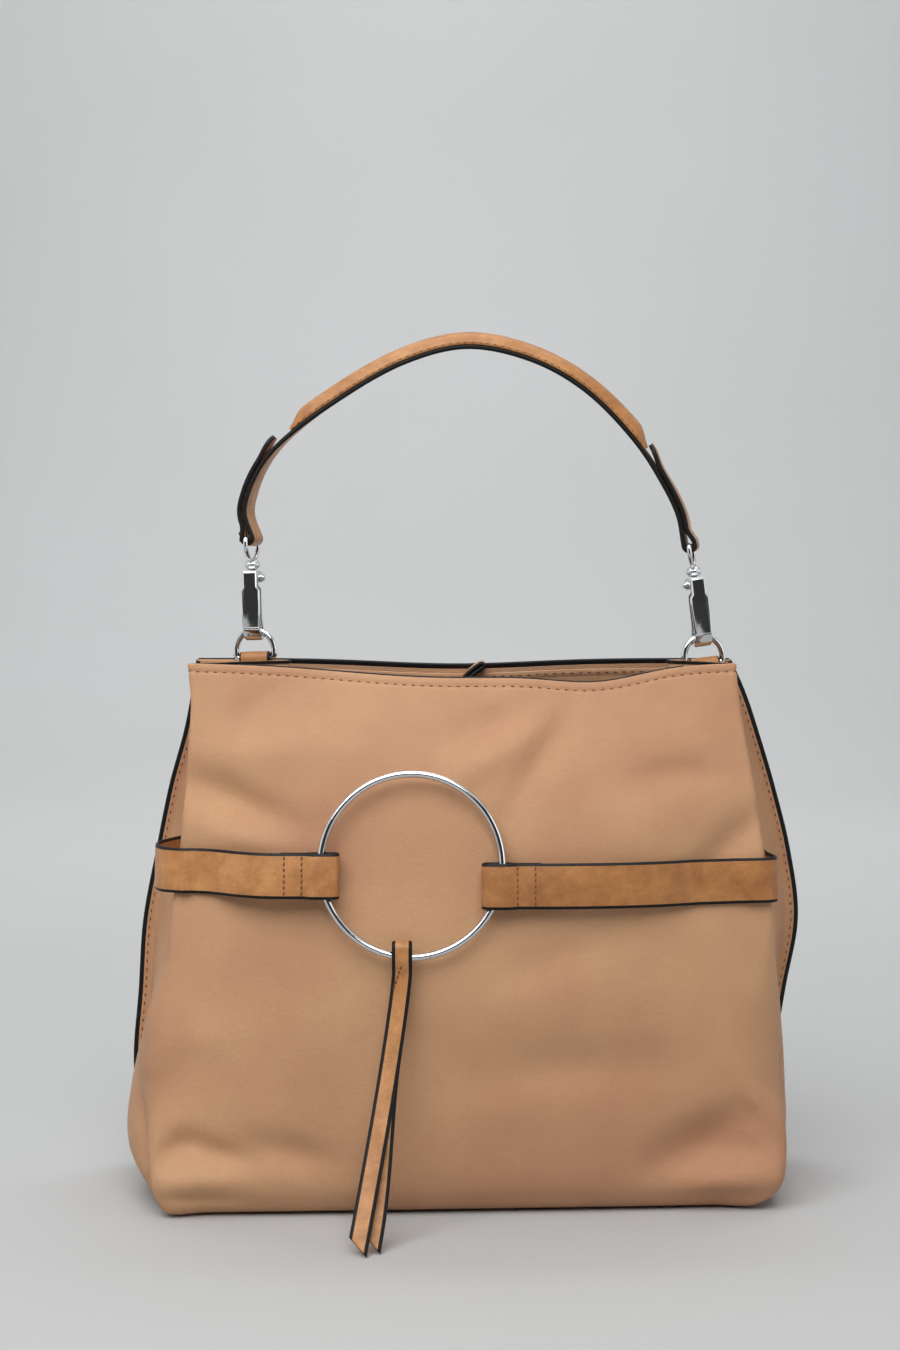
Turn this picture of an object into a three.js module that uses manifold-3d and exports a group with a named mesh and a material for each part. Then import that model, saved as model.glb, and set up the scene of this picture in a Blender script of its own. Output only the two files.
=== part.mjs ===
// A soft trapeze shoulder bag that stands on its base: a front piece that wraps round both sides, a wider
// back panel joined to it by raw-edge seams, a flat base, facings inside the mouth, a large ring held on the
// front by two belts, a split tassel on the ring, and a padded handle on two swivel snap hooks.
// Millimetres. +X is to the right of someone who looks at the front, +Y is to the back, +Z is up.
// The origin is the middle of the base, on the surface that the bag stands on.
import * as THREE from "three";
import { mergeVertices } from "three/addons/utils/BufferGeometryUtils.js";
import Module from "manifold-3d";

const wasm = await Module();
wasm.setup();

// Body
const BAG_HEIGHT = 305;
const BAG_WIDTH = 360;
const BAG_DEPTH = 124;
const LEATHER = 2;
const CLEARANCE = 0.3;
const FLANGE_WIDTH = 7;
const CORNER_RADIUS = 10;
const BASE_THICKNESS = 2.4;
const BASE_INSET = 2.6;
const FACING_THICKNESS = 1.6;
const FACING_HEIGHT = 26;
const FACING_PROUD = 0.8;
const FACING_GAP = 1;

// Front ring, belts and tassel
const RING_RADIUS = 50;
const RING_WIRE = 4;
const RING_X = -28.4;
const RING_HEIGHT = 196.7;
const RING_LEAN_DEG = 8;
const LOOP_GAP = 0.5;
const BELT_WIDTH = 25;
const BELT_THICKNESS = 2.4;
const BELT_HEIGHT_LEFT = 191;
const BELT_HEIGHT_RIGHT = 185.5;
const BELT_NOSE = 10;
const BELT_RETURN = 22.5;
const TASSEL_WIDTH = 11;
const TASSEL_THICKNESS = 2;
const TASSEL_NOSE = 9;
const TASSEL_REACH = 52;
const TASSEL_DRIFT = 22;
const TASSEL_OFFSET = -5;
const TASSEL_SPLIT = 3.5;

// Tabs, D-rings and snap hooks
const D_INSIDE = 19.2;
const D_WIRE = 3.6;
const D_LEG = 5;
const D_CORNER = 2.6;
const TAB_WIDTH = 18;
const TAB_THICKNESS = 2;
const TAB_DROP = 24;
const HOOK_BAND = 2.2;
const PLATE_WIDTH = 11.6;
const CURL_WIDTH = 10;
const NECK_WIDTH = 8.6;
const GATE_WIDTH = 5.4;
const GATE_BAND = 1.8;
const PIN_RADIUS = 0.8;
const BARREL_RADIUS = 2.2;
const EAR_RADIUS = 2.9;
const EAR_THICKNESS = 1.7;
const BALL_RADIUS = 4.45;
const BALL_HEIGHT = 6.5;
const EYE_WIRE = 2.7;
const EYE_LENGTH = 24;
const EYE_DROP = 13;
const EYE_SINK = 0.4;

// One row for each side: where its D-ring's bar is, as a share of half the bag's width and a rise over the
// bag's height, how its fittings are turned and lean, and how far behind the bar the tab's leaves hang.
const SIDES = [
  { name: "left", sign: -1, across: 0.67667, rise: 2, turn: -9, lean: -1.9, eyeTurn: -3, setBack: 1.5 },
  { name: "right", sign: 1, across: 0.79333, rise: -1.6, turn: 8, lean: -6.7, eyeTurn: -19, setBack: 0.8 },
];

// Handle
const STRAP_WIDTH = 20;
const STRAP_THICKNESS = 2.8;
const WRAP_GAP = 0.5;
const HANDLE_RISE = 114;
const FLAP_LENGTH = 62;
const FLAP_LIFT = 2.4;
const PAD_HEIGHT = 7;
const PAD_GAP = 0.5;
const PAD_START = 0.19;
const PAD_END = 0.835;
const PAD_EDGE = 14;

// Closure tab
const CLOSURE_TAB_WIDTH = 19;
const CLOSURE_TAB_THICKNESS = 2.4;

// One row for each height. Widths are shares of half the bag's width, depths of half its depth, and all are
// measured from the middle. crease is the fold in each side, seam the raw edge where side and back meet.
const SECTIONS = [
  { up: 0.0, cornerL: 0.925, cornerR: 0.875, front: 0.903, creaseL: 0.94, creaseR: 0.905, creaseDepthL: 0.0,
    creaseDepthR: 0.0, seamL: 0.94, seamR: 0.905, back: 0.94, belly: 0.0, bulge: 0.0, soft: 34, twist: 3 },
  { up: 0.01, cornerL: 0.95, cornerR: 0.922, front: 0.984, creaseL: 0.97, creaseR: 0.952, creaseDepthL: 0.0,
    creaseDepthR: 0.0, seamL: 0.97, seamR: 0.952, back: 0.972, belly: 0.02, bulge: 0.02, soft: 34, twist: 3 },
  { up: 0.033, cornerL: 0.967, cornerR: 0.972, front: 1.0, creaseL: 1.022, creaseR: 1.0, creaseDepthL: -0.01,
    creaseDepthR: 0.0, seamL: 1.008, seamR: 1.0, back: 0.984, belly: 0.04, bulge: 0.03, soft: 32, twist: 3 },
  { up: 0.1, cornerL: 0.984, cornerR: 1.0, front: 1.0, creaseL: 1.086, creaseR: 1.03, creaseDepthL: -0.13,
    creaseDepthR: -0.06, seamL: 1.06, seamR: 1.035, back: 0.984, belly: 0.08, bulge: 0.06, soft: 30, twist: 2.8 },
  { up: 0.203, cornerL: 0.995, cornerR: 1.008, front: 0.968, creaseL: 1.074, creaseR: 1.038, creaseDepthL: -0.1,
    creaseDepthR: -0.1, seamL: 1.086, seamR: 1.072, back: 0.968, belly: 0.145, bulge: 0.08, soft: 28, twist: 2.4 },
  { up: 0.344, cornerL: 1.0, cornerR: 1.002, front: 0.935, creaseL: 1.0, creaseR: 1.016, creaseDepthL: -0.06,
    creaseDepthR: -0.06, seamL: 1.074, seamR: 1.104, back: 0.92, belly: 0.21, bulge: 0.11, soft: 24, twist: 1.6 },
  { up: 0.485, cornerL: 0.944, cornerR: 0.991, front: 0.871, creaseL: 0.87, creaseR: 0.93, creaseDepthL: -0.05,
    creaseDepthR: -0.05, seamL: 1.062, seamR: 1.134, back: 0.855, belly: 0.274, bulge: 0.13, soft: 18, twist: 0.8 },
  { up: 0.623, cornerL: 0.908, cornerR: 0.966, front: 0.79, creaseL: 0.8, creaseR: 0.86, creaseDepthL: -0.03,
    creaseDepthR: -0.03, seamL: 1.02, seamR: 1.098, back: 0.774, belly: 0.306, bulge: 0.145, soft: 12, twist: 0.2 },
  { up: 0.754, cornerL: 0.896, cornerR: 0.943, front: 0.677, creaseL: 0.68, creaseR: 0.765, creaseDepthL: 0.065,
    creaseDepthR: 0.065, seamL: 0.972, seamR: 1.038, back: 0.661, belly: 0.323, bulge: 0.145, soft: 10, twist: 0 },
  { up: 0.859, cornerL: 0.888, cornerR: 0.916, front: 0.565, creaseL: 0.605, creaseR: 0.705, creaseDepthL: 0.18,
    creaseDepthR: 0.19, seamL: 0.919, seamR: 0.98, back: 0.532, belly: 0.27, bulge: 0.13, soft: 8, twist: 0 },
  { up: 0.934, cornerL: 0.886, cornerR: 0.9, front: 0.468, creaseL: 0.57, creaseR: 0.68, creaseDepthL: 0.24,
    creaseDepthR: 0.27, seamL: 0.891, seamR: 0.935, back: 0.452, belly: 0.16, bulge: 0.1, soft: 8, twist: 0 },
  { up: 1.0, cornerL: 0.9, cornerR: 0.894, front: 0.387, creaseL: 0.556, creaseR: 0.667, creaseDepthL: 0.274,
    creaseDepthR: 0.323, seamL: 0.872, seamR: 0.884, back: 0.387, belly: 0.05, bulge: 0.07, soft: 8, twist: 0 },
];

// Heights, as shares of the bag's height, at which the walls have a row of vertices.
const WALL_ROWS = [
  0, 0.01, 0.03, 0.07, 0.12, 0.18, 0.25, 0.33, 0.41, 0.49, 0.57, 0.65, 0.73, 0.81, 0.87, 0.92, 0.965, 1,
];

// How far the rim sags: places as shares of half the width, drops as shares of the bag's height.
const FRONT_SAG = [
  { at: -0.02, drop: 0.028, spread: 0.5 },
  { at: 0.43, drop: 0.023, spread: 0.2 },
];
const BACK_SAG = [{ at: -0.02, drop: 0.011, spread: 0.35 }];

// Soft folds of the front. across and up place the middle (shares of half the width and of the height),
// long and thin are its two half lengths (shares of the height), turn leans it and rise lifts it
// (share of half the depth, below zero for a dent).
const FRONT_FOLDS = [
  { across: -0.62, up: 0.86, long: 0.15, thin: 0.035, turn: 32, rise: -0.07 },
  { across: -0.6, up: 0.76, long: 0.17, thin: 0.04, turn: 24, rise: 0.07 },
  { across: -0.66, up: 0.68, long: 0.12, thin: 0.032, turn: -12, rise: -0.08 },
  { across: 0.5, up: 0.86, long: 0.16, thin: 0.04, turn: 58, rise: 0.07 },
  { across: 0.62, up: 0.7, long: 0.14, thin: 0.045, turn: 20, rise: -0.09 },
  { across: -0.78, up: 0.18, long: 0.1, thin: 0.05, turn: 20, rise: -0.11 },
  { across: -0.7, up: 0.07, long: 0.12, thin: 0.03, turn: 4, rise: 0.06 },
  { across: 0.72, up: 0.2, long: 0.13, thin: 0.05, turn: -14, rise: -0.11 },
  { across: 0.8, up: 0.08, long: 0.13, thin: 0.035, turn: 0, rise: 0.06 },
  { across: 0.94, up: 0.3, long: 0.12, thin: 0.05, turn: 80, rise: -0.08 },
];

// The handle's middle line between the two eye bars: along is a share of the span, over of the rise.
const HANDLE_LINE = [
  { along: -0.0066, over: 0.128 },
  { along: 0.0023, over: 0.24 },
  { along: 0.03, over: 0.38 },
  { along: 0.073, over: 0.502 },
  { along: 0.188, over: 0.71 },
  { along: 0.349, over: 0.924 },
  { along: 0.49, over: 1.008 },
  { along: 0.636, over: 0.947 },
  { along: 0.76, over: 0.794 },
  { along: 0.878, over: 0.527 },
  { along: 0.935, over: 0.334 },
  { along: 0.974, over: 0.157 },
];

const TAN = { color: 0xc0894f, roughness: 0.55, metalness: 0 };
const BEIGE = { color: 0xbb9474, roughness: 0.6, metalness: 0 };
const METAL = { color: 0xd5d8dc, roughness: 0.12, metalness: 1 };

const halfWidth = BAG_WIDTH / 2;
const halfDepth = BAG_DEPTH / 2;
const radians = THREE.MathUtils.degToRad;
const group = new THREE.Group();

function add(parent, name, geometry, look) {
  const mesh = new THREE.Mesh(geometry, new THREE.MeshStandardMaterial(look));
  mesh.name = name;
  parent.add(mesh);
  return mesh;
}

// A closed surface from corner points and triangles of their indices.
function surface(points, triangles) {
  const geometry = new THREE.BufferGeometry().setFromPoints(points);
  geometry.setIndex(triangles.flat());
  geometry.computeVertexNormals();
  return geometry;
}

// manifold-3d solids, for joining and cutting.
function toSolid(geometry) {
  const bare = geometry.clone();
  bare.deleteAttribute("normal");
  bare.deleteAttribute("uv");
  const merged = mergeVertices(bare, 1e-3);
  return new wasm.Manifold(new wasm.Mesh({
    numProp: 3,
    vertProperties: new Float32Array(merged.attributes.position.array),
    triVerts: new Uint32Array(merged.index.array),
  }));
}

function fromSolid(solid) {
  const mesh = solid.getMesh();
  const geometry = new THREE.BufferGeometry();
  geometry.setAttribute("position", new THREE.BufferAttribute(new Float32Array(mesh.vertProperties), 3));
  geometry.setIndex(new THREE.BufferAttribute(new Uint32Array(mesh.triVerts), 1));
  geometry.computeVertexNormals();
  return geometry;
}

function joined(...geometries) {
  return fromSolid(geometries.map(toSolid).reduce((whole, piece) => whole.add(piece)));
}

// The same grid of points, moved inwards by an even distance. The lowest and highest rows keep their height.
function inward(grid, distance) {
  const rows = grid.length;
  const columns = grid[0].length;
  return grid.map((row, i) => row.map((point, j) => {
    const alongRow = row[Math.min(j + 1, columns - 1)].clone().sub(row[Math.max(j - 1, 0)]);
    const upColumn = grid[Math.min(i + 1, rows - 1)][j].clone().sub(grid[Math.max(i - 1, 0)][j]);
    const normal = alongRow.cross(upColumn);
    if (i === 0 || i === rows - 1) normal.z = 0;
    return point.clone().addScaledVector(normal.normalize(), -distance);
  }));
}

// A sheet of even thickness behind a grid of points on its outer face. Rows run up and columns run so
// that columns cross rows points outwards.
function thickSheet(grid, thickness) {
  const rows = grid.length;
  const columns = grid[0].length;
  const outer = grid.flat();
  const inner = inward(grid, thickness).flat();
  const shift = outer.length;
  const faces = [];
  const quad = (a, b, c, d) => faces.push([a, b, c], [a, c, d]);
  for (let i = 0; i < rows - 1; i++) {
    for (let j = 0; j < columns - 1; j++) {
      const a = i * columns + j;
      quad(a, a + 1, a + 1 + columns, a + columns);
      quad(a + shift, a + columns + shift, a + columns + 1 + shift, a + 1 + shift);
    }
  }
  const last = (rows - 1) * columns;
  for (let j = 0; j < columns - 1; j++) {
    quad(j + 1, j, j + shift, j + 1 + shift);
    quad(last + j, last + j + 1, last + j + 1 + shift, last + j + shift);
  }
  for (let i = 0; i < rows - 1; i++) {
    const a = i * columns;
    const b = a + columns - 1;
    quad(a, a + columns, a + columns + shift, a + shift);
    quad(b + columns, b, b + shift, b + columns + shift);
  }
  return surface([...outer, ...inner], faces);
}

// A solid through loops of points, one loop for each station, closed by end caps or joined to a ring.
function throughLoops(loops, ring = false) {
  const count = loops[0].length;
  const faces = [];
  const stations = ring ? loops.length : loops.length - 1;
  for (let i = 0; i < stations; i++) {
    const from = i * count;
    const to = ((i + 1) % loops.length) * count;
    for (let j = 0; j < count; j++) {
      const next = (j + 1) % count;
      faces.push([from + j, from + next, to + next], [from + j, to + next, to + j]);
    }
  }
  if (!ring) {
    const last = (loops.length - 1) * count;
    for (let j = 1; j < count - 1; j++) {
      faces.push([0, j + 1, j], [last, last + j, last + j + 1]);
    }
  }
  return surface(loops.flat(), faces);
}

function tangents(points, ring = false) {
  return points.map((point, i) => {
    const before = ring ? points.at(i - 1) : points[Math.max(i - 1, 0)];
    const after = ring ? points[(i + 1) % points.length] : points[Math.min(i + 1, points.length - 1)];
    return after.clone().sub(before).normalize();
  });
}

// A flat strip along a path. side(i) is the direction of its width, and thick its thickness. A section is
// listed as [share of the width, share of the thickness].
const FLAT_SECTION = [[-0.5, -0.5], [0.5, -0.5], [0.5, 0.5], [-0.5, 0.5]];
function strip(path, side, width, thick, section = FLAT_SECTION) {
  const along = tangents(path);
  const loops = path.map((point, i) => {
    const across = side(i).clone().addScaledVector(along[i], -side(i).dot(along[i])).normalize();
    const normal = across.clone().cross(along[i]).negate();
    const wide = typeof width === "function" ? width(i) : width;
    const high = typeof thick === "function" ? thick(i) : thick;
    return section.map(([w, t]) =>
      point.clone().addScaledVector(across, w * wide).addScaledVector(normal, t * high));
  });
  return throughLoops(loops);
}

// A round wire bent along a closed path in one plane, whose normal is given.
function closedWire(path, planeNormal, radius, sides) {
  const along = tangents(path, true);
  const loops = path.map((point, i) => {
    const across = along[i].clone().cross(planeNormal).normalize();
    return Array.from({ length: sides }, (_, k) => {
      const angle = (2 * Math.PI * (k + 0.5)) / sides;
      return point.clone()
        .addScaledVector(planeNormal, radius * Math.cos(angle))
        .addScaledVector(across, radius * Math.sin(angle));
    });
  });
  return throughLoops(loops, true);
}

function box(x0, x1, y0, y1, z0, z1) {
  return new THREE.BoxGeometry(x1 - x0, y1 - y0, z1 - z0)
    .translate((x0 + x1) / 2, (y0 + y1) / 2, (z0 + z1) / 2);
}

// A round bar along X.
function barAlongX(x0, x1, y, z, radius, sides) {
  return new THREE.CylinderGeometry(radius, radius, x1 - x0, sides)
    .rotateZ(Math.PI / 2)
    .translate((x0 + x1) / 2, y, z);
}

// A value from one column of the section table at any height, on a smooth curve through the rows.
function sectionValue(name, up) {
  const rows = SECTIONS;
  let i = 0;
  while (i < rows.length - 2 && up > rows[i + 1].up) i++;
  const [a, b] = [rows[i], rows[i + 1]];
  const before = rows[Math.max(i - 1, 0)];
  const after = rows[Math.min(i + 2, rows.length - 1)];
  const span = b.up - a.up;
  const slope = (p, q) => (p === q ? 0 : (q[name] - p[name]) / (q.up - p.up));
  const startSlope = (i === 0 ? slope(a, b) : slope(before, b)) * span;
  const endSlope = (i === rows.length - 2 ? slope(a, b) : slope(a, after)) * span;
  const t = (up - a.up) / span;
  const h = [2 * t ** 3 - 3 * t ** 2 + 1, t ** 3 - 2 * t ** 2 + t, -2 * t ** 3 + 3 * t ** 2, t ** 3 - t ** 2];
  return h[0] * a[name] + h[1] * startSlope + h[2] * b[name] + h[3] * endSlope;
}

function sectionAt(up) {
  const value = (name) => sectionValue(name, up);
  return {
    cornerL: new THREE.Vector2(-value("cornerL") * halfWidth, -value("front") * halfDepth),
    cornerR: new THREE.Vector2(value("cornerR") * halfWidth, -value("front") * halfDepth),
    creaseL: new THREE.Vector2(-value("creaseL") * halfWidth, value("creaseDepthL") * halfDepth),
    creaseR: new THREE.Vector2(value("creaseR") * halfWidth, value("creaseDepthR") * halfDepth),
    seamL: new THREE.Vector2(-value("seamL") * halfWidth, value("back") * halfDepth),
    seamR: new THREE.Vector2(value("seamR") * halfWidth, value("back") * halfDepth),
    belly: value("belly") * halfDepth,
    bulge: value("bulge") * halfDepth,
    soft: value("soft"),
    twist: radians(value("twist")),
  };
}

// The flange is as wide as the seam allowance, and narrower close to the base.
function flangeAt(up) {
  return FLANGE_WIDTH * THREE.MathUtils.lerp(0.35, 1, THREE.MathUtils.smoothstep(up, 0, 0.1));
}

function sagAt(table, x) {
  return table.reduce((sum, row) =>
    sum + row.drop * BAG_HEIGHT * Math.exp(-(((x / halfWidth - row.at) / row.spread) ** 2)), 0);
}

function foldsAt(x, z) {
  return FRONT_FOLDS.reduce((sum, fold) => {
    const dx = x - fold.across * halfWidth;
    const dz = z - fold.up * BAG_HEIGHT;
    const turn = radians(fold.turn);
    const along = (dx * Math.cos(turn) + dz * Math.sin(turn)) / (fold.long * BAG_HEIGHT);
    const over = (-dx * Math.sin(turn) + dz * Math.cos(turn)) / (fold.thin * BAG_HEIGHT);
    return sum + fold.rise * halfDepth * Math.exp(-(along ** 2 + over ** 2));
  }, 0);
}

// Points along a polyline whose inner vertices are rounded. Each vertex has a radius and each edge a count.
function roundedLine(vertices, radii, edgeCounts, roundCount) {
  const trimmed = vertices.map((vertex, i) => {
    if (i === 0 || i === vertices.length - 1) return 0;
    const shorter = Math.min(vertex.distanceTo(vertices[i - 1]), vertex.distanceTo(vertices[i + 1]));
    return Math.min(radii[i], 0.45 * shorter);
  });
  const points = [];
  for (let i = 0; i < vertices.length - 1; i++) {
    const [a, b] = [vertices[i], vertices[i + 1]];
    const direction = b.clone().sub(a).normalize();
    const from = a.clone().addScaledVector(direction, trimmed[i]);
    const to = b.clone().addScaledVector(direction, -trimmed[i + 1]);
    for (let k = i === 0 ? 0 : 1; k <= edgeCounts[i]; k++) {
      points.push({ point: from.clone().lerp(to, k / edgeCounts[i]), edge: i, share: k / edgeCounts[i] });
    }
    if (i < vertices.length - 2) {
      const next = vertices[i + 2].clone().sub(b).normalize();
      const out = b.clone().addScaledVector(next, trimmed[i + 1]);
      for (let k = 1; k <= roundCount; k++) {
        const t = k / roundCount;
        const point = to.clone().multiplyScalar((1 - t) ** 2)
          .addScaledVector(b, 2 * t * (1 - t))
          .addScaledVector(out, t * t);
        points.push({ point, edge: -1, share: 0 });
      }
    }
  }
  return points;
}

const FRONT_EDGE = 3;
const FRONT_STEPS = 17;
const bellyShape = (share) => 1 - Math.abs(2 * share - 1) ** 2.6;
const rimShare = (up) => THREE.MathUtils.smoothstep(up, 0.5, 1);

function turned(point, twist) {
  return point.clone().rotateAround(new THREE.Vector2(), twist);
}

// One row of the front piece, from the left seam round the front to the right seam.
function frontRow(up) {
  const s = sectionAt(up);
  const flange = new THREE.Vector2(flangeAt(up), 0);
  const vertices = [
    s.seamL, s.seamL.clone().add(flange), s.creaseL, s.cornerL,
    s.cornerR, s.creaseR, s.seamR.clone().sub(flange), s.seamR,
  ];
  const radii = [0, 2.5, s.soft, CORNER_RADIUS, CORNER_RADIUS, s.soft, 2.5, 0];
  const counts = [1, 3, 3, FRONT_STEPS, 3, 3, 1];
  const settle = THREE.MathUtils.smoothstep(up, 0.005, 0.05);
  return roundedLine(vertices, radii, counts, 3).map(({ point, edge, share }) => {
    const forward = edge === FRONT_EDGE ? s.belly * bellyShape(share) : 0;
    const flat = turned(new THREE.Vector2(point.x, point.y - forward), s.twist);
    const onFront = THREE.MathUtils.smoothstep(-point.y, 0, Math.abs(s.cornerL.y));
    const z = up * BAG_HEIGHT - sagAt(FRONT_SAG, point.x) * rimShare(up) * onFront;
    const fold = foldsAt(point.x, up * BAG_HEIGHT) * onFront * settle;
    return new THREE.Vector3(flat.x, flat.y - fold, z);
  });
}

// One row of the back panel, from the right seam to the left one.
const BACK_STEPS = 14;
const seamStack = 2 * LEATHER + CLEARANCE;

// How far behind the front piece's flange the back panel's outer face is: more where the wall leans.
function stackAt(up) {
  const step = 0.01;
  const [low, high] = [Math.max(up - step, 0), Math.min(up + step, 1)];
  const lean = (sectionAt(high).seamL.y - sectionAt(low).seamL.y) / ((high - low) * BAG_HEIGHT);
  return seamStack * Math.hypot(1, lean);
}

function backRow(up) {
  const s = sectionAt(up);
  const stack = stackAt(up);
  return Array.from({ length: BACK_STEPS + 1 }, (_, k) => {
    const share = k / BACK_STEPS;
    const across = s.seamR.clone().lerp(s.seamL, share);
    const flat = turned(new THREE.Vector2(across.x, across.y + stack + s.bulge * bellyShape(share)), s.twist);
    return new THREE.Vector3(flat.x, flat.y, up * BAG_HEIGHT - sagAt(BACK_SAG, across.x) * rimShare(up));
  });
}

add(group, "front_body", thickSheet(WALL_ROWS.map(frontRow), LEATHER), BEIGE);
add(group, "back_panel", thickSheet(WALL_ROWS.map(backRow), LEATHER), BEIGE);

// The base: a flat panel inside the lowest ring of the walls.
function basePanel() {
  const s = sectionAt(0);
  const inset = BASE_INSET;
  const root = flangeAt(0);
  const outline = [
    new THREE.Vector2(s.cornerL.x + inset, s.cornerL.y + inset),
    new THREE.Vector2(s.cornerR.x - inset, s.cornerR.y + inset),
    new THREE.Vector2(s.seamR.x - root - inset, s.seamR.y - inset + seamStack - LEATHER),
    new THREE.Vector2(s.seamL.x + root + inset, s.seamL.y - inset + seamStack - LEATHER),
  ];
  const middle = (a, b) => a.clone().lerp(b, 0.5);
  const start = middle(outline[3], outline[0]);
  const rounded = roundedLine([start, ...outline, start], [0, CORNER_RADIUS, CORNER_RADIUS, 3, 3, 0],
    [1, 1, 1, 1, 1], 4).slice(0, -1);
  const shape = new THREE.Shape(rounded.map(({ point }) => turned(point, s.twist)));
  return new THREE.ExtrudeGeometry(shape, { depth: BASE_THICKNESS, bevelEnabled: false });
}
add(group, "base_panel", basePanel(), BEIGE);

// The facings: bands just inside the mouth, on the walls' highest rows, their painted top edges proud.
const facingRows = WALL_ROWS.filter((up) => up >= 1 - FACING_HEIGHT / BAG_HEIGHT).length;
const FACING_MARGIN = 1;
function facing(row, first, last) {
  const grid = inward(WALL_ROWS.map(row), LEATHER + FACING_GAP).slice(-facingRows)
    .map((points) => points.slice(first, last));
  grid.at(-1).forEach((point) => point.setZ(point.z + FACING_PROUD));
  return thickSheet(grid, FACING_THICKNESS);
}
const frontStart = frontRow(1).findIndex((point) => point.y < sectionAt(1).cornerL.y + 0.5) + FACING_MARGIN;
const frontCount = frontRow(1).length;
add(group, "front_facing", facing(frontRow, frontStart, frontCount - frontStart), BEIGE);
add(group, "back_facing", facing(backRow, 1, BACK_STEPS), BEIGE);

// A level point, pushed outwards until it is at least a gap away from the front piece at all given heights.
function pushedOut(point, heights, gap) {
  const moved = point.clone();
  for (let pass = 0; pass < 3; pass++) {
    for (const z of heights) {
      const row = frontRow(z / BAG_HEIGHT);
      let best = { distance: Infinity };
      for (let j = 0; j < row.length - 1; j++) {
        const a = new THREE.Vector2(row[j].x, row[j].y);
        const edge = new THREE.Vector2(row[j + 1].x, row[j + 1].y).sub(a);
        const share = THREE.MathUtils.clamp(moved.clone().sub(a).dot(edge) / edge.lengthSq(), 0, 1);
        const away = moved.clone().sub(a.addScaledVector(edge, share));
        const distance = away.length();
        if (distance < best.distance) {
          const normal = new THREE.Vector2(edge.y, -edge.x).normalize();
          best = { distance, normal, outside: away.dot(normal) };
        }
      }
      const clear = Math.sign(best.outside) * best.distance;
      if (clear < gap) moved.addScaledVector(best.normal, gap - clear);
    }
  }
  return moved;
}

// How far forward the front piece's outer face is at a place on the front.
function frontFaceY(x, z) {
  const halfway = sectionAt(z / BAG_HEIGHT).cornerL.y / 2;
  const row = frontRow(z / BAG_HEIGHT).filter((point) => point.y < halfway);
  const after = Math.max(1, row.findIndex((point) => point.x > x));
  const [a, b] = [row[after - 1], row[after]];
  return THREE.MathUtils.lerp(a.y, b.y, THREE.MathUtils.clamp((x - a.x) / (b.x - a.x), 0, 1));
}

// Front ring
const ringGap = RING_WIRE / 2 + LOOP_GAP + BELT_THICKNESS / 2;
const ringLean = radians(RING_LEAN_DEG);
const ringStandOff = 2 * ringGap + BELT_THICKNESS / 2 + 2 * CLEARANCE;
const ringY = frontFaceY(RING_X, RING_HEIGHT - RING_RADIUS) - ringStandOff + RING_RADIUS * Math.sin(ringLean);
const ringCentre = new THREE.Vector3(RING_X, ringY, RING_HEIGHT);
const ringGroup = new THREE.Group();
ringGroup.position.copy(ringCentre);
ringGroup.rotation.x = Math.PI / 2 - ringLean;
group.add(ringGroup);
add(ringGroup, "front_ring", new THREE.TorusGeometry(RING_RADIUS, RING_WIRE / 2, 10, 48), METAL);

// The ring's wire centre at a height, on the left (-1) or right (+1), or at a place across its bottom.
function ringAtHeight(z, sign) {
  const rise = (z - RING_HEIGHT) / Math.cos(ringLean);
  return new THREE.Vector3(
    RING_X + sign * Math.sqrt(RING_RADIUS ** 2 - rise ** 2), ringY + rise * Math.sin(ringLean), z);
}

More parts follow.
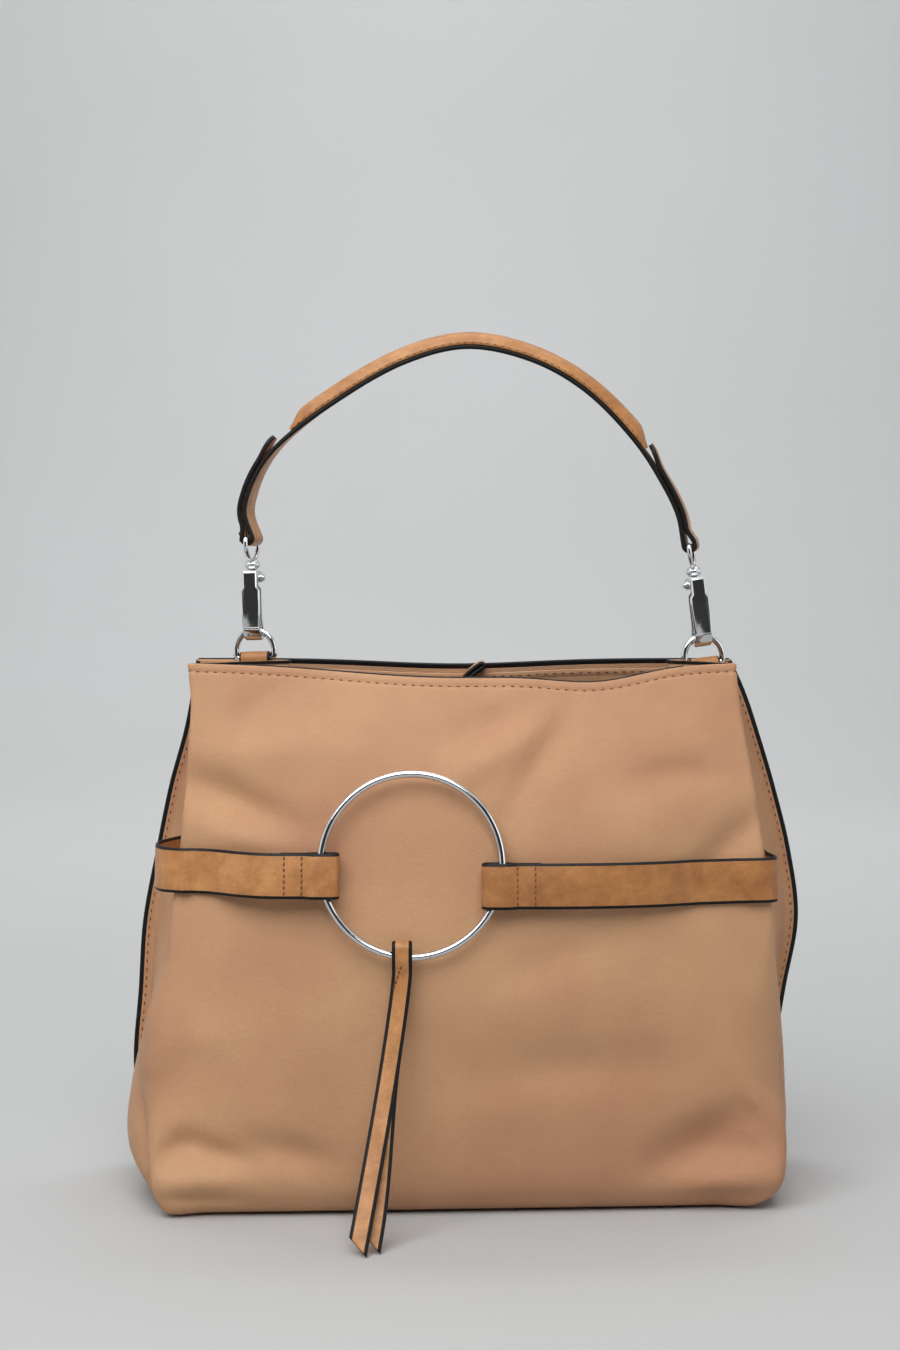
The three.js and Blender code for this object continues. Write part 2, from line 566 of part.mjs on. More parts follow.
// Belts: each starts behind the ring's wire, turns round it, runs over the front, turns the corner and
// goes back along the side, where it is sewn down.
const BELT_FRONT_STEPS = 10;
const BELT_SIDE_STEPS = 7;
const BELT_END_REACH = 0.4;
const BELT_STANDS_OFF = 2.5;
const BELT_BULGE = { left: 8.3, right: 3.7 };
const BELT_BULGE_SETBACK = 24;
function beltPath(sign, height) {
  const wire = ringAtHeight(height, sign);
  const s = sectionAt(height / BAG_HEIGHT);
  const corner = sign < 0 ? s.cornerL : s.cornerR;
  const crease = sign < 0 ? s.creaseL : s.creaseR;
  const path = [];
  const stackedBack = wire.y + (BELT_THICKNESS + CLEARANCE) / 2;
  const stackedFront = wire.y - (BELT_THICKNESS + CLEARANCE) / 2;
  const meets = 4.5;
  path.push([wire.x + sign * BELT_RETURN, stackedBack]);
  path.push([wire.x + sign * (meets + 5), stackedBack]);
  path.push([wire.x + sign * meets, wire.y + ringGap * 0.93]);
  const noseRadius = ringGap;
  const noseX = wire.x - sign * (BELT_NOSE - noseRadius - BELT_THICKNESS / 2);
  for (let k = 0; k <= 6; k++) {
    const angle = (Math.PI * k) / 6;
    path.push([noseX - sign * noseRadius * Math.sin(angle), wire.y + noseRadius * Math.cos(angle)]);
  }
  path.push([wire.x + sign * meets, wire.y - ringGap * 0.93]);
  path.push([wire.x + sign * (meets + 5), stackedFront]);
  path.push([wire.x + sign * BELT_RETURN, stackedFront]);
  const startX = wire.x + sign * BELT_RETURN;
  const turnX = corner.x + sign * BELT_STANDS_OFF;
  const offFace = BELT_THICKNESS / 2 + CLEARANCE + 0.4;
  const clearOfFace = (x) => Math.min(...[-0.5, -0.25, 0, 0.25, 0.5].map((w) =>
    frontFaceY(x, height + w * BELT_WIDTH) - w * BELT_WIDTH * Math.tan(ringLean))) - offFace;
  for (let k = 1; k <= BELT_FRONT_STEPS; k++) {
    const share = k / (BELT_FRONT_STEPS + 1);
    const x = THREE.MathUtils.lerp(startX, turnX - sign * CORNER_RADIUS, share);
    const settle = THREE.MathUtils.smoothstep(share, 0, 0.35);
    path.push([x, Math.min(THREE.MathUtils.lerp(stackedFront, clearOfFace(x), settle), clearOfFace(x))]);
  }
  const turnY = corner.y + CORNER_RADIUS * 0.2;
  const end = crease.clone().lerp(sign < 0 ? s.seamL : s.seamR, BELT_END_REACH);
  const route = new THREE.CatmullRomCurve3([
    new THREE.Vector3(turnX - sign * CORNER_RADIUS, clearOfFace(turnX - sign * CORNER_RADIUS), 0),
    new THREE.Vector3(turnX + sign * 2, turnY, 0),
    new THREE.Vector3(turnX + sign * (sign < 0 ? BELT_BULGE.left : BELT_BULGE.right), turnY + BELT_BULGE_SETBACK, 0),
    new THREE.Vector3(end.x, end.y, 0),
  ]);
  const heights = [-0.5, -0.25, 0, 0.25, 0.5].map((w) => height + w * BELT_WIDTH);
  for (let k = 0; k <= BELT_SIDE_STEPS; k++) {
    const point = route.getPoint(k / BELT_SIDE_STEPS);
    const clear = pushedOut(new THREE.Vector2(point.x, point.y), heights, offFace);
    path.push([clear.x, clear.y]);
  }
  return path.map(([x, y]) => new THREE.Vector3(x, y, height));
}
const ringUp = new THREE.Vector3(0, Math.sin(ringLean), Math.cos(ringLean));
function belt(sign, height) {
  return strip(beltPath(sign, height), () => ringUp, BELT_WIDTH, BELT_THICKNESS);
}
add(group, "belt_left", belt(-1, BELT_HEIGHT_LEFT), TAN);
add(group, "belt_right", belt(1, BELT_HEIGHT_RIGHT), TAN);

// Tassel: one strip folded over the bottom of the ring. The two tails part lower down and rest on the floor.
const TAIL_STEPS = 9;
function tassel() {
  const rise = -Math.sqrt(RING_RADIUS ** 2 - TASSEL_OFFSET ** 2);
  const wire = new THREE.Vector3(RING_X + TASSEL_OFFSET, 0, RING_HEIGHT).addScaledVector(ringUp, rise);
  wire.y += ringY;
  const loop = RING_WIRE / 2 + LOOP_GAP + TASSEL_THICKNESS / 2;
  const leaf = (TASSEL_THICKNESS + CLEARANCE) / 2;
  const neck = wire.z - TASSEL_NOSE;
  const floor = TASSEL_THICKNESS / 2 + CLEARANCE;
  const tail = (side) => Array.from({ length: TAIL_STEPS + 1 }, (_, k) => {
    const t = k / TAIL_STEPS;
    const parting = side > 0 ? TASSEL_SPLIT * THREE.MathUtils.smoothstep(t, 0.3, 1) : 0;
    return new THREE.Vector3(
      wire.x - TASSEL_DRIFT * t ** 1.2 + 2 * parting,
      wire.y + side * leaf - TASSEL_REACH * t ** 1.5 + parting,
      THREE.MathUtils.lerp(neck, floor, t));
  });
  const nose = Array.from({ length: 7 }, (_, k) => {
    const angle = (Math.PI * k) / 6;
    return new THREE.Vector3(
      wire.x,
      wire.y + loop * Math.cos(angle),
      wire.z + TASSEL_NOSE - loop - TASSEL_THICKNESS / 2 + loop * Math.sin(angle));
  });
  const shoulder = (side) => [
    new THREE.Vector3(wire.x, wire.y + side * loop, wire.z - 1),
    new THREE.Vector3(wire.x, wire.y + side * loop * 0.75, wire.z - 4.5),
  ];
  const path = [...tail(1).reverse(), ...shoulder(1).reverse(), ...nose, ...shoulder(-1), ...tail(-1)];
  return strip(path, () => new THREE.Vector3(1, 0, 0), TASSEL_WIDTH, TASSEL_THICKNESS);
}
add(group, "tassel", tassel(), TAN);

// How far back the rear half of a side's outer face is, at a place near the crease.
function sideFaceY(sign, x, z) {
  const row = frontRow(z / BAG_HEIGHT);
  const half = Math.floor(row.length / 2);
  const part = sign < 0 ? row.slice(0, half) : row.slice(half).reverse();
  const crease = part.findIndex((point, j) => j > 3 && sign * (part[j + 1].x - point.x) > 0);
  for (let j = 0; j < crease; j++) {
    const [a, b] = [part[j], part[j + 1]];
    if ((a.x - x) * (b.x - x) <= 0) return THREE.MathUtils.lerp(a.y, b.y, (x - a.x) / (b.x - a.x));
  }
  return part[crease].y;
}

// D-ring in its own plane: x across, z up, the middle of its bar at the origin.
function dRing() {
  const radius = (D_INSIDE + D_WIRE) / 2;
  const path = [];
  for (let k = 0; k <= 4; k++) path.push(new THREE.Vector3(-radius + D_CORNER + k * (radius - D_CORNER) / 2, 0, 0));
  for (let k = 1; k <= 3; k++) {
    const angle = (Math.PI / 2) * (k / 3);
    path.push(new THREE.Vector3(
      radius - D_CORNER * (1 - Math.sin(angle)), 0, D_CORNER * (1 - Math.cos(angle))));
  }
  for (let k = 0; k <= 16; k++) {
    const angle = (Math.PI * k) / 16;
    path.push(new THREE.Vector3(radius * Math.cos(angle), 0, D_LEG + radius * Math.sin(angle)));
  }
  for (let k = 0; k <= 2; k++) {
    const angle = (Math.PI / 2) * (1 - k / 3);
    path.push(new THREE.Vector3(
      -radius + D_CORNER * (1 - Math.sin(angle)), 0, D_CORNER * (1 - Math.cos(angle))));
  }
  return closedWire(path, new THREE.Vector3(0, 1, 0), D_WIRE / 2, 8);
}

// Leather tab: a strip that goes round the D-ring's bar, both ends hanging down behind it.
function dTab(setBack) {
  const loop = D_WIRE / 2 + CLEARANCE + TAB_THICKNESS / 2;
  const leaf = (TAB_THICKNESS + CLEARANCE) / 2;
  const path = [[leaf + setBack, -TAB_DROP], [leaf + setBack, -9], [loop * 0.85, -4.5], [loop, -1]];
  for (let k = 0; k <= 8; k++) {
    const angle = (Math.PI * k) / 8;
    path.push([loop * Math.cos(angle), loop * Math.sin(angle)]);
  }
  path.push([-loop, -1], [-loop * 0.75, -4.5], [setBack - leaf, -9], [setBack - leaf, -TAB_DROP]);
  const points = path.map(([y, z]) => new THREE.Vector3(0, y, z));
  return strip(points, () => new THREE.Vector3(1, 0, 0), TAB_WIDTH, TAB_THICKNESS);
}

// Snap hook, in a frame whose origin is the top of the D-ring's wire centre: back is +y, up is z.
const HOOK_LINE = [
  { back: -7.2, up: 34.6, wide: NECK_WIDTH },
  { back: -7.3, up: 25.4, wide: NECK_WIDTH },
  { back: -7.3, up: 22.8, wide: PLATE_WIDTH },
  { back: -7.4, up: 15, wide: PLATE_WIDTH },
  { back: -7.3, up: 8, wide: 10.8 },
  { back: -7.2, up: 2.2, wide: CURL_WIDTH },
  { back: -5.7, up: -1.9, wide: CURL_WIDTH },
  { back: -2.4, up: -4.3, wide: CURL_WIDTH },
  { back: 0.2, up: -4.7, wide: CURL_WIDTH },
  { back: 2.9, up: -3.8, wide: CURL_WIDTH },
  { back: 4.7, up: -0.9, wide: 9.4 },
  { back: 5.0, up: 2.6, wide: 8.8 },
  { back: 4.8, up: 7, wide: 8 },
];
const PIVOT_BACK = 2.2;
const PIVOT_UP = 31;
const NECK_TOP = 35;
const NECK_FRONT = -8.1;
function hook() {
  const path = HOOK_LINE.map(({ back, up }) => new THREE.Vector3(0, back, up));
  const band = strip(path, () => new THREE.Vector3(1, 0, 0), (i) => HOOK_LINE[i].wide, HOOK_BAND);
  const innerEar = GATE_WIDTH / 2 + CLEARANCE;
  const outerEar = innerEar + EAR_THICKNESS;
  const neck = box(-NECK_WIDTH / 2, NECK_WIDTH / 2, NECK_FRONT, 2.8, NECK_TOP - 1.2, NECK_TOP);
  const pieces = [band, neck, barAlongX(-outerEar, outerEar, PIVOT_BACK, PIVOT_UP, PIN_RADIUS, 10)];
  for (const sign of [-1, 1]) {
    const [x0, x1] = [Math.min(sign * innerEar, sign * outerEar), Math.max(sign * innerEar, sign * outerEar)];
    pieces.push(box(x0, x1, NECK_FRONT + 0.4, PIVOT_BACK + EAR_RADIUS * 0.6, PIVOT_UP, NECK_TOP - 0.4));
    pieces.push(barAlongX(x0, x1, PIVOT_BACK, PIVOT_UP, EAR_RADIUS, 14));
  }
  return joined(...pieces);
}

// Spring gate in the same frame: a barrel on the pin and a lever that closes behind the hook's tip.
const GATE_LINE = [
  { back: 2.4, up: 29.8 }, { back: 2.9, up: 24 }, { back: 2.8, up: 14 }, { back: 2.5, up: 4.4 },
];
function gate() {
  const path = GATE_LINE.map(({ back, up }) => new THREE.Vector3(0, back, up));
  const lever = strip(path, () => new THREE.Vector3(1, 0, 0), GATE_WIDTH, GATE_BAND);
  const half = GATE_WIDTH / 2;
  const barrel = barAlongX(-half, half, PIVOT_BACK, PIVOT_UP, BARREL_RADIUS, 14);
  const bore = barAlongX(-half - 1, half + 1, PIVOT_BACK, PIVOT_UP, PIN_RADIUS + CLEARANCE, 10);
  return fromSolid(toSolid(lever).add(toSolid(barrel)).subtract(toSolid(bore)));
}

// Swivel eye in the same frame: a ball on the neck and a loop whose top bar carries the strap.
const ballMiddle = NECK_TOP + CLEARANCE + BALL_HEIGHT / 2;
const eyeHeight = ballMiddle + BALL_HEIGHT / 2 - EYE_SINK + EYE_DROP;
function swivelEye() {
  const half = EYE_LENGTH / 2;
  const corners = [
    [-half + 1.9, 0], [half - 1.9, 0], [half - 0.55, -0.55], [half, -1.9], [half, -6], [4, -EYE_DROP],
    [-4, -EYE_DROP], [-half, -6], [-half, -1.9], [-half + 0.55, -0.55],
  ];
  const path = corners.map(([y, z]) => new THREE.Vector3(0, y, eyeHeight + z));
  const loop = closedWire(path, new THREE.Vector3(1, 0, 0), EYE_WIRE / 2, 8);
  const ball = new THREE.SphereGeometry(BALL_RADIUS, 14, 8)
    .rotateX(Math.PI / 2)
    .scale(1, 1, BALL_HEIGHT / (2 * BALL_RADIUS))
    .translate(0, 0, ballMiddle);
  return joined(loop, ball);
}

// Each side's fittings, in a frame whose origin is the middle of the D-ring's bar.
const archTop = D_LEG + (D_INSIDE + D_WIRE) / 2;
const tabHalfStack = TAB_THICKNESS + CLEARANCE / 2;
const eyes = SIDES.map(({ name, sign, across: place, rise, turn, lean, eyeTurn, setBack }) => {
  const x = sign * place * halfWidth;
  const z = BAG_HEIGHT + rise;
  const deepest = Math.min(...[-0.5, 0, 0.5].flatMap((w) => [0.1, 0.4, 0.7, 1].map((share) => {
    const across = w * TAB_WIDTH;
    const height = Math.min(z - share * TAB_DROP, BAG_HEIGHT);
    const sideways = x + across * Math.cos(radians(turn)) - share * TAB_DROP * Math.sin(radians(lean));
    return sideFaceY(sign, sideways, height) - across * Math.sin(radians(turn));
  })));
  const fittings = new THREE.Group();
  fittings.position.set(x, deepest - CLEARANCE - Math.max(tabHalfStack, D_WIRE / 2 + CLEARANCE + TAB_THICKNESS), z);
  fittings.rotation.set(0, radians(lean), radians(turn), "ZYX");
  group.add(fittings);
  add(fittings, `tab_${name}`, dTab(setBack), TAN);
  add(fittings, `d_ring_${name}`, dRing(), METAL);
  const hanging = new THREE.Group();
  hanging.position.z = archTop;
  fittings.add(hanging);
  add(hanging, `hook_${name}`, hook(), METAL);
  add(hanging, `gate_${name}`, gate(), METAL);
  const swivel = new THREE.Group();
  swivel.rotation.z = radians(eyeTurn);
  hanging.add(swivel);
  add(swivel, `eye_${name}`, swivelEye(), METAL);
  swivel.updateWorldMatrix(true, false);
  return {
    sign,
    centre: new THREE.Vector3(0, 0, eyeHeight).applyMatrix4(swivel.matrixWorld),
    bar: new THREE.Vector3(0, 1, 0).transformDirection(swivel.matrixWorld),
  };
});

// Handle: the strap's line runs from one eye to the other; its ends go under the eyes' bars and come back
// up outside.
const INNER_STEPS = 44;
const FLAP_STEPS = 8;
const wrapRadius = EYE_WIRE / 2 + WRAP_GAP + STRAP_THICKNESS / 2;
const [leftEye, rightEye] = eyes;
const handleLine = new THREE.CatmullRomCurve3([
  leftEye.centre.clone().add(new THREE.Vector3(wrapRadius, 0, 0)),
  ...HANDLE_LINE.map(({ along, over }) =>
    leftEye.centre.clone().lerp(rightEye.centre, along).add(new THREE.Vector3(0, 0, over * HANDLE_RISE))),
  rightEye.centre.clone().add(new THREE.Vector3(-wrapRadius, 0, 0)),
], false, "centripetal");
const handleLength = handleLine.getLength();

// The grip's front edge hangs a little lower than its back edge.
const GRIP_TILT = 0.12;
function handleSide(share) {
  const fromLeft = THREE.MathUtils.smoothstep(1 - share, 0.55, 1);
  const fromRight = THREE.MathUtils.smoothstep(share, 0.55, 1);
  return new THREE.Vector3(0, 1, GRIP_TILT)
    .lerp(leftEye.bar, fromLeft)
    .lerp(rightEye.bar, fromRight)
    .normalize();
}

function handleAt(share, outwards) {
  const along = handleLine.getTangentAt(share);
  const out = along.clone().cross(handleSide(share)).normalize();
  return handleLine.getPointAt(share).addScaledVector(out, outwards);
}

function handleStrap() {
  const path = [];
  const sides = [];
  const widths = [];
  const put = (point, share, width = 1) => {
    path.push(point);
    sides.push(handleSide(share));
    widths.push(width * STRAP_WIDTH);
  };
  const flap = (end) => Array.from({ length: FLAP_STEPS + 1 }, (_, k) => {
    const length = (FLAP_LENGTH * (k + 0.35)) / (FLAP_STEPS + 0.35);
    const share = end < 0 ? length / handleLength : 1 - length / handleLength;
    const near = THREE.MathUtils.smoothstep(length, 0, 16);
    const lift = FLAP_LIFT * THREE.MathUtils.smoothstep(length, FLAP_LENGTH - 16, FLAP_LENGTH);
    const away = THREE.MathUtils.lerp(2 * wrapRadius, STRAP_THICKNESS + CLEARANCE, near) + lift;
    return { point: handleAt(share, away), share };
  });
  const wrap = (eye, from, to) => {
    for (let k = 0; k <= 6; k++) {
      const angle = THREE.MathUtils.lerp(from, to, k / 6);
      put(eye.centre.clone().add(new THREE.Vector3(
        wrapRadius * Math.cos(angle), 0, wrapRadius * Math.sin(angle))), eye.sign < 0 ? 0 : 1);
    }
  };
  const tipWidth = (k) => (k === FLAP_STEPS ? 0.62 : 1);
  flap(-1).map((row, k) => ({ ...row, k })).reverse().forEach(({ point, share, k }) => put(point, share, tipWidth(k)));
  wrap(leftEye, Math.PI, 2 * Math.PI);
  for (let k = 1; k < INNER_STEPS; k++) put(handleLine.getPointAt(k / INNER_STEPS), k / INNER_STEPS);
  wrap(rightEye, Math.PI, 2 * Math.PI);
  flap(1).forEach(({ point, share }, k) => put(point, share, tipWidth(k)));
  return strip(path, (i) => sides[i], (i) => widths[i], STRAP_THICKNESS);
}
add(group, "handle_strap", handleStrap(), TAN);

// Padded grip: a domed section on the outside of the strap.
const PAD_STEPS = 28;
const PAD_SECTION = [[-0.5, 0], [0.5, 0]];
for (let k = 0; k <= 8; k++) {
  const angle = (Math.PI * k) / 8;
  PAD_SECTION.push([0.5 * Math.cos(angle), 0.12 + 0.88 * Math.sin(angle)]);
}
function handlePad() {
  const shares = Array.from({ length: PAD_STEPS + 1 }, (_, k) =>
    THREE.MathUtils.lerp(PAD_START, PAD_END, 0.5 - 0.5 * Math.cos((Math.PI * k) / PAD_STEPS)));
  const fade = (share) => THREE.MathUtils.smoothstep(
    Math.min(share - PAD_START, PAD_END - share) * handleLength, -2, PAD_EDGE);
  const path = shares.map((share) => handleAt(share, STRAP_THICKNESS / 2 + PAD_GAP));
  return strip(path, (i) => handleSide(shares[i]), (i) => STRAP_WIDTH * (0.8 + 0.2 * fade(shares[i])),
    (i) => PAD_HEIGHT * (0.25 + 0.75 * fade(shares[i])), PAD_SECTION);
}
add(group, "handle_pad", handlePad(), TAN);

// Closure tab: a folded strip that stands up inside the mouth, in front of the back facing.
const CLOSURE_LINE = [{ x: -9, under: 22 }, { x: -1, under: 13 }, { x: 6, under: 6 }, { x: 11, under: 2.4 }];
function closureTab() {
  const leaf = (CLOSURE_TAB_THICKNESS + CLEARANCE) / 2;
  const middle = CLOSURE_LINE.map(({ x, under }) => new THREE.Vector3(x, 0, BAG_HEIGHT - under));
  const along = tangents(middle);
  const offset = (i, side) => middle[i].clone()
    .add(new THREE.Vector3(-along[i].z, 0, along[i].x).multiplyScalar(side * leaf));
  const tip = Array.from({ length: 5 }, (_, k) => {
    const angle = -Math.PI / 2 + (Math.PI * k) / 4;
    return middle.at(-1).clone()
      .addScaledVector(along.at(-1), leaf * 1.4 * Math.cos(angle))
      .add(new THREE.Vector3(-along.at(-1).z, 0, along.at(-1).x).multiplyScalar(leaf * Math.sin(angle)));
  });
  const last = middle.length - 1;
  const path = [
    ...middle.slice(0, last).map((_, i) => offset(i, -1)), ...tip,
    ...middle.slice(0, last).map((_, i) => offset(i, 1)).reverse(),
  ];
  return strip(path, () => new THREE.Vector3(0, 1, 0), CLOSURE_TAB_WIDTH, CLOSURE_TAB_THICKNESS)
    .translate(0, backFacingY - CLEARANCE - CLOSURE_TAB_WIDTH / 2, 0);
}
const backFacingY = Math.min(...inward(WALL_ROWS.map(backRow), LEATHER + FACING_GAP + FACING_THICKNESS)
  .slice(-facingRows).flat().filter((point) => Math.abs(point.x) < 20).map((point) => point.y));
add(group, "closure_tab", closureTab(), TAN);

export default group;
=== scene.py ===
"""Looks of a soft trapeze shoulder bag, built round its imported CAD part.

Lengths are in millimetres and become metres when a mesh is made. +X is to the right of someone who looks
at the front, +Y is to the back, +Z is up, and the origin is the middle of the base, as in the CAD part.
"""

import math

import bmesh
import bpy
import numpy as np
from mathutils import Matrix, Vector


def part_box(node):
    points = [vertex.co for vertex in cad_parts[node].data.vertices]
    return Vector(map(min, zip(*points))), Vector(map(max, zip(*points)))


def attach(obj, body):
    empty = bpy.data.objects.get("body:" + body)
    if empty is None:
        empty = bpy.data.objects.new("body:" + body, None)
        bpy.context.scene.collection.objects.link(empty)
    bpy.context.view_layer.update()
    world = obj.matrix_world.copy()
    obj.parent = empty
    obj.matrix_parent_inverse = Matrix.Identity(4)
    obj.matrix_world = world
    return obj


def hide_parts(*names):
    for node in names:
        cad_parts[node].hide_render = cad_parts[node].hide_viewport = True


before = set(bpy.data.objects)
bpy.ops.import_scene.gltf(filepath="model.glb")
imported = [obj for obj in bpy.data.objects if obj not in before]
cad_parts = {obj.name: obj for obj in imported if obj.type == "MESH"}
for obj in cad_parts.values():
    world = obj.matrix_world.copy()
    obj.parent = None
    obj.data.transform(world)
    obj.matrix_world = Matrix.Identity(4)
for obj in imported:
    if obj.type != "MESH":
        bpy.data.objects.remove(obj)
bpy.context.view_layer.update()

# Driving sizes of the CAD part
BAG_HEIGHT = 305.0
HALF_WIDTH = 180.0
HALF_DEPTH = 62.0
LEATHER = 2.0
CLEARANCE = 0.3
FLANGE_WIDTH = 7.0
CORNER_RADIUS = 10.0
FACING_THICKNESS = 1.6
FACING_HEIGHT = 26.0
FACING_PROUD = 0.8
FACING_GAP = 1.0
RING_RADIUS = 50.0
RING_WIRE = 4.0
RING_LEAN = math.radians(8)
LOOP_GAP = 0.5
BELT_WIDTH = 25.0
BELT_THICKNESS = 2.4
BELT_NOSE = 10.0
BELT_RETURN = 22.5
BELT_BULGE = {-1: 8.3, 1: 0.8}
BELT_TURN = {-1: 2.5, 1: -1.5}
TASSEL_WIDTH = 11.0
TASSEL_THICKNESS = 2.0
TASSEL_NOSE = 9.0
TASSEL_REACH = 52.0
TASSEL_DRIFT = 22.0
TASSEL_OFFSET = -5.0
TASSEL_SPLIT = 3.5
TASSEL_CUT_RISE = 3.6
D_INSIDE = 19.2
D_WIRE = 3.6
D_LEG = 5.0
D_CORNER = 2.6
TAB_WIDTH = 18.0
TAB_THICKNESS = 2.0
TAB_DROP = 24.0
STRAP_WIDTH = 20.0
STRAP_THICKNESS = 2.8
HANDLE_RISE = 114.0
WRAP_GAP = 0.5
FLAP_LENGTH = 62.0
FLAP_LIFT = 2.4
GRIP_TILT = 0.12
PAD_HEIGHT = 7.0
PAD_GAP = 0.1
PAD_START = 0.19
PAD_END = 0.835
PAD_EDGE = 14.0
EYE_WIRE = 2.7
EYE_LENGTH = 24.0
EYE_DROP = 13.0
EYE_HEIGHT = 54.4
RING_CENTRE = np.array((-28.4, -73.379, 196.7))

# Columns of the section table, as in the CAD part: shares of half the width or half the depth.
COLUMNS = (
    "up", "cornerL", "cornerR", "front", "creaseL", "creaseR", "creaseDepthL", "creaseDepthR",
    "seamL", "seamR", "back", "belly", "bulge", "soft", "twist",
)
SECTIONS = (
    (0.0, 0.925, 0.875, 0.903, 0.94, 0.905, 0.0, 0.0, 0.94, 0.905, 0.94, 0.0, 0.0, 34, 3),
    (0.01, 0.95, 0.922, 0.984, 0.97, 0.952, 0.0, 0.0, 0.97, 0.952, 0.972, 0.02, 0.02, 34, 3),
    (0.033, 0.967, 0.972, 1.0, 1.022, 1.0, -0.01, 0.0, 1.008, 1.0, 0.984, 0.04, 0.03, 32, 3),
    (0.1, 0.984, 1.0, 1.0, 1.086, 1.03, -0.13, -0.06, 1.06, 1.035, 0.984, 0.08, 0.06, 30, 2.8),
    (0.203, 0.995, 1.008, 0.968, 1.074, 1.038, -0.1, -0.1, 1.086, 1.072, 0.968, 0.145, 0.08, 28, 2.4),
    (0.344, 1.0, 1.002, 0.935, 1.0, 1.016, -0.06, -0.06, 1.074, 1.104, 0.92, 0.21, 0.11, 24, 1.6),
    (0.485, 0.944, 0.991, 0.871, 0.87, 0.93, -0.05, -0.05, 1.062, 1.134, 0.855, 0.274, 0.13, 18, 0.8),
    (0.623, 0.908, 0.966, 0.79, 0.8, 0.86, -0.03, -0.03, 1.02, 1.098, 0.774, 0.306, 0.145, 12, 0.2),
    (0.754, 0.896, 0.943, 0.677, 0.68, 0.765, 0.065, 0.065, 0.972, 1.038, 0.661, 0.323, 0.145, 10, 0),
    (0.859, 0.888, 0.916, 0.565, 0.605, 0.705, 0.18, 0.19, 0.919, 0.98, 0.532, 0.27, 0.13, 8, 0),
    (0.934, 0.886, 0.9, 0.468, 0.57, 0.68, 0.24, 0.27, 0.891, 0.935, 0.452, 0.16, 0.1, 8, 0),
    (1.0, 0.9, 0.894, 0.387, 0.556, 0.667, 0.274, 0.323, 0.872, 0.884, 0.387, 0.05, 0.07, 8, 0),
)

# at, drop, spread of each sag of the rim
FRONT_SAG = ((-0.02, 0.028, 0.5), (0.43, 0.023, 0.2))
BACK_SAG = ((-0.02, 0.011, 0.35),)

# x, z, long, thin, turn (degrees), rise of each soft fold of the front
FRONT_FOLDS = (
    (-119, 282, 24, 9, 40, -2.6),
    (-118, 258, 40, 11, 5, 2.8),
    (-127, 229, 33, 11, -22, -8.6),
    (-117, 211, 40, 11, -10, 4.4),
    (19, 280, 42, 10, 20, -3.0),
    (24, 268, 44, 10, 35, 3.8),
    (45, 262, 38, 9, 62, -4.8),
    (108, 226, 40, 24, 10, 3.8),
    (120, 246, 26, 9, -4, -4.8),
    (150, 206, 34, 11, 38, -5.0),
    (60, 84, 54, 15, 3, -3.8),
    (54, 147, 36, 12, 22, -3.0),
    (26, 122, 62, 26, 0, 2.2),
    (-164, 37, 14, 8, 32, -5.0),
    (-139, 36, 22, 8, -20, -6.6),
    (-151, 22, 26, 7, 3, 4.0),
    (-148, 11, 16, 3.5, -3, -2.2),
    (132, 40, 33, 14, 25, -9.5),
    (152, 34, 20, 9, 8, -3.6),
    (170, 56, 20, 6, -45, 3.2),
    (146, 19, 34, 8, 2, 4.2),
    (-147, 99, 12, 10, 0, 1.8),
    (-104, 38, 27, 10, -14, -5.0),
    (-171, 66, 28, 9, 66, -5.5),
    (176, 84, 36, 13, 96, -7.5),
)

# side, distance behind the front fold, width, z, height, depth of each hollow in the sides
SIDE_HOLLOWS = (
    (-1, 14, 9, 40, 32, 6.0),
    (1, 12, 9, 66, 32, 5.0),
)
TUCK_HEIGHT = 18.0
TUCK_DEPTH = 4.0
FRONT_TUCK_HEIGHT = 30.0
FRONT_TUCK_DEPTH = 6.0

# along, over of the handle's middle line between the two eyes
HANDLE_LINE = (
    (-0.0066, 0.128), (0.0023, 0.24), (0.03, 0.38), (0.073, 0.502), (0.188, 0.71), (0.349, 0.924),
    (0.49, 1.008), (0.636, 0.947), (0.76, 0.794), (0.878, 0.527), (0.935, 0.334), (0.974, 0.157),
)

# Each side's sign across, how its fittings turn and lean (degrees), and how far its tab is set back
SIDES = {
    "left": dict(sign=-1, turn=-9, lean=-1.9, eye_turn=-3, set_back=1.5),
    "right": dict(sign=1, turn=8, lean=-6.7, eye_turn=-19, set_back=0.8),
}


def smoothstep(value, low, high):
    t = np.clip((np.asarray(value, dtype=float) - low) / (high - low), 0, 1)
    return t * t * (3 - 2 * t)


def lerp(a, b, t):
    return a + (b - a) * t


# Body shape


def section_value(name, up):
    """A value from one column at any height, on a smooth curve through the rows."""
    k = COLUMNS.index(name)
    rows = SECTIONS
    i = 0
    while i < len(rows) - 2 and up > rows[i + 1][0]:
        i += 1
    a, b = rows[i], rows[i + 1]
    span = b[0] - a[0]

    def slope(p, q):
        return (q[k] - p[k]) / (q[0] - p[0])

    start = slope(a, b) if i == 0 else slope(rows[i - 1], b)
    end = slope(a, b) if i == len(rows) - 2 else slope(a, rows[i + 2])
    t = (up - a[0]) / span
    h = (2 * t**3 - 3 * t**2 + 1, t**3 - 2 * t**2 + t, -2 * t**3 + 3 * t**2, t**3 - t**2)
    return h[0] * a[k] + h[1] * start * span + h[2] * b[k] + h[3] * end * span


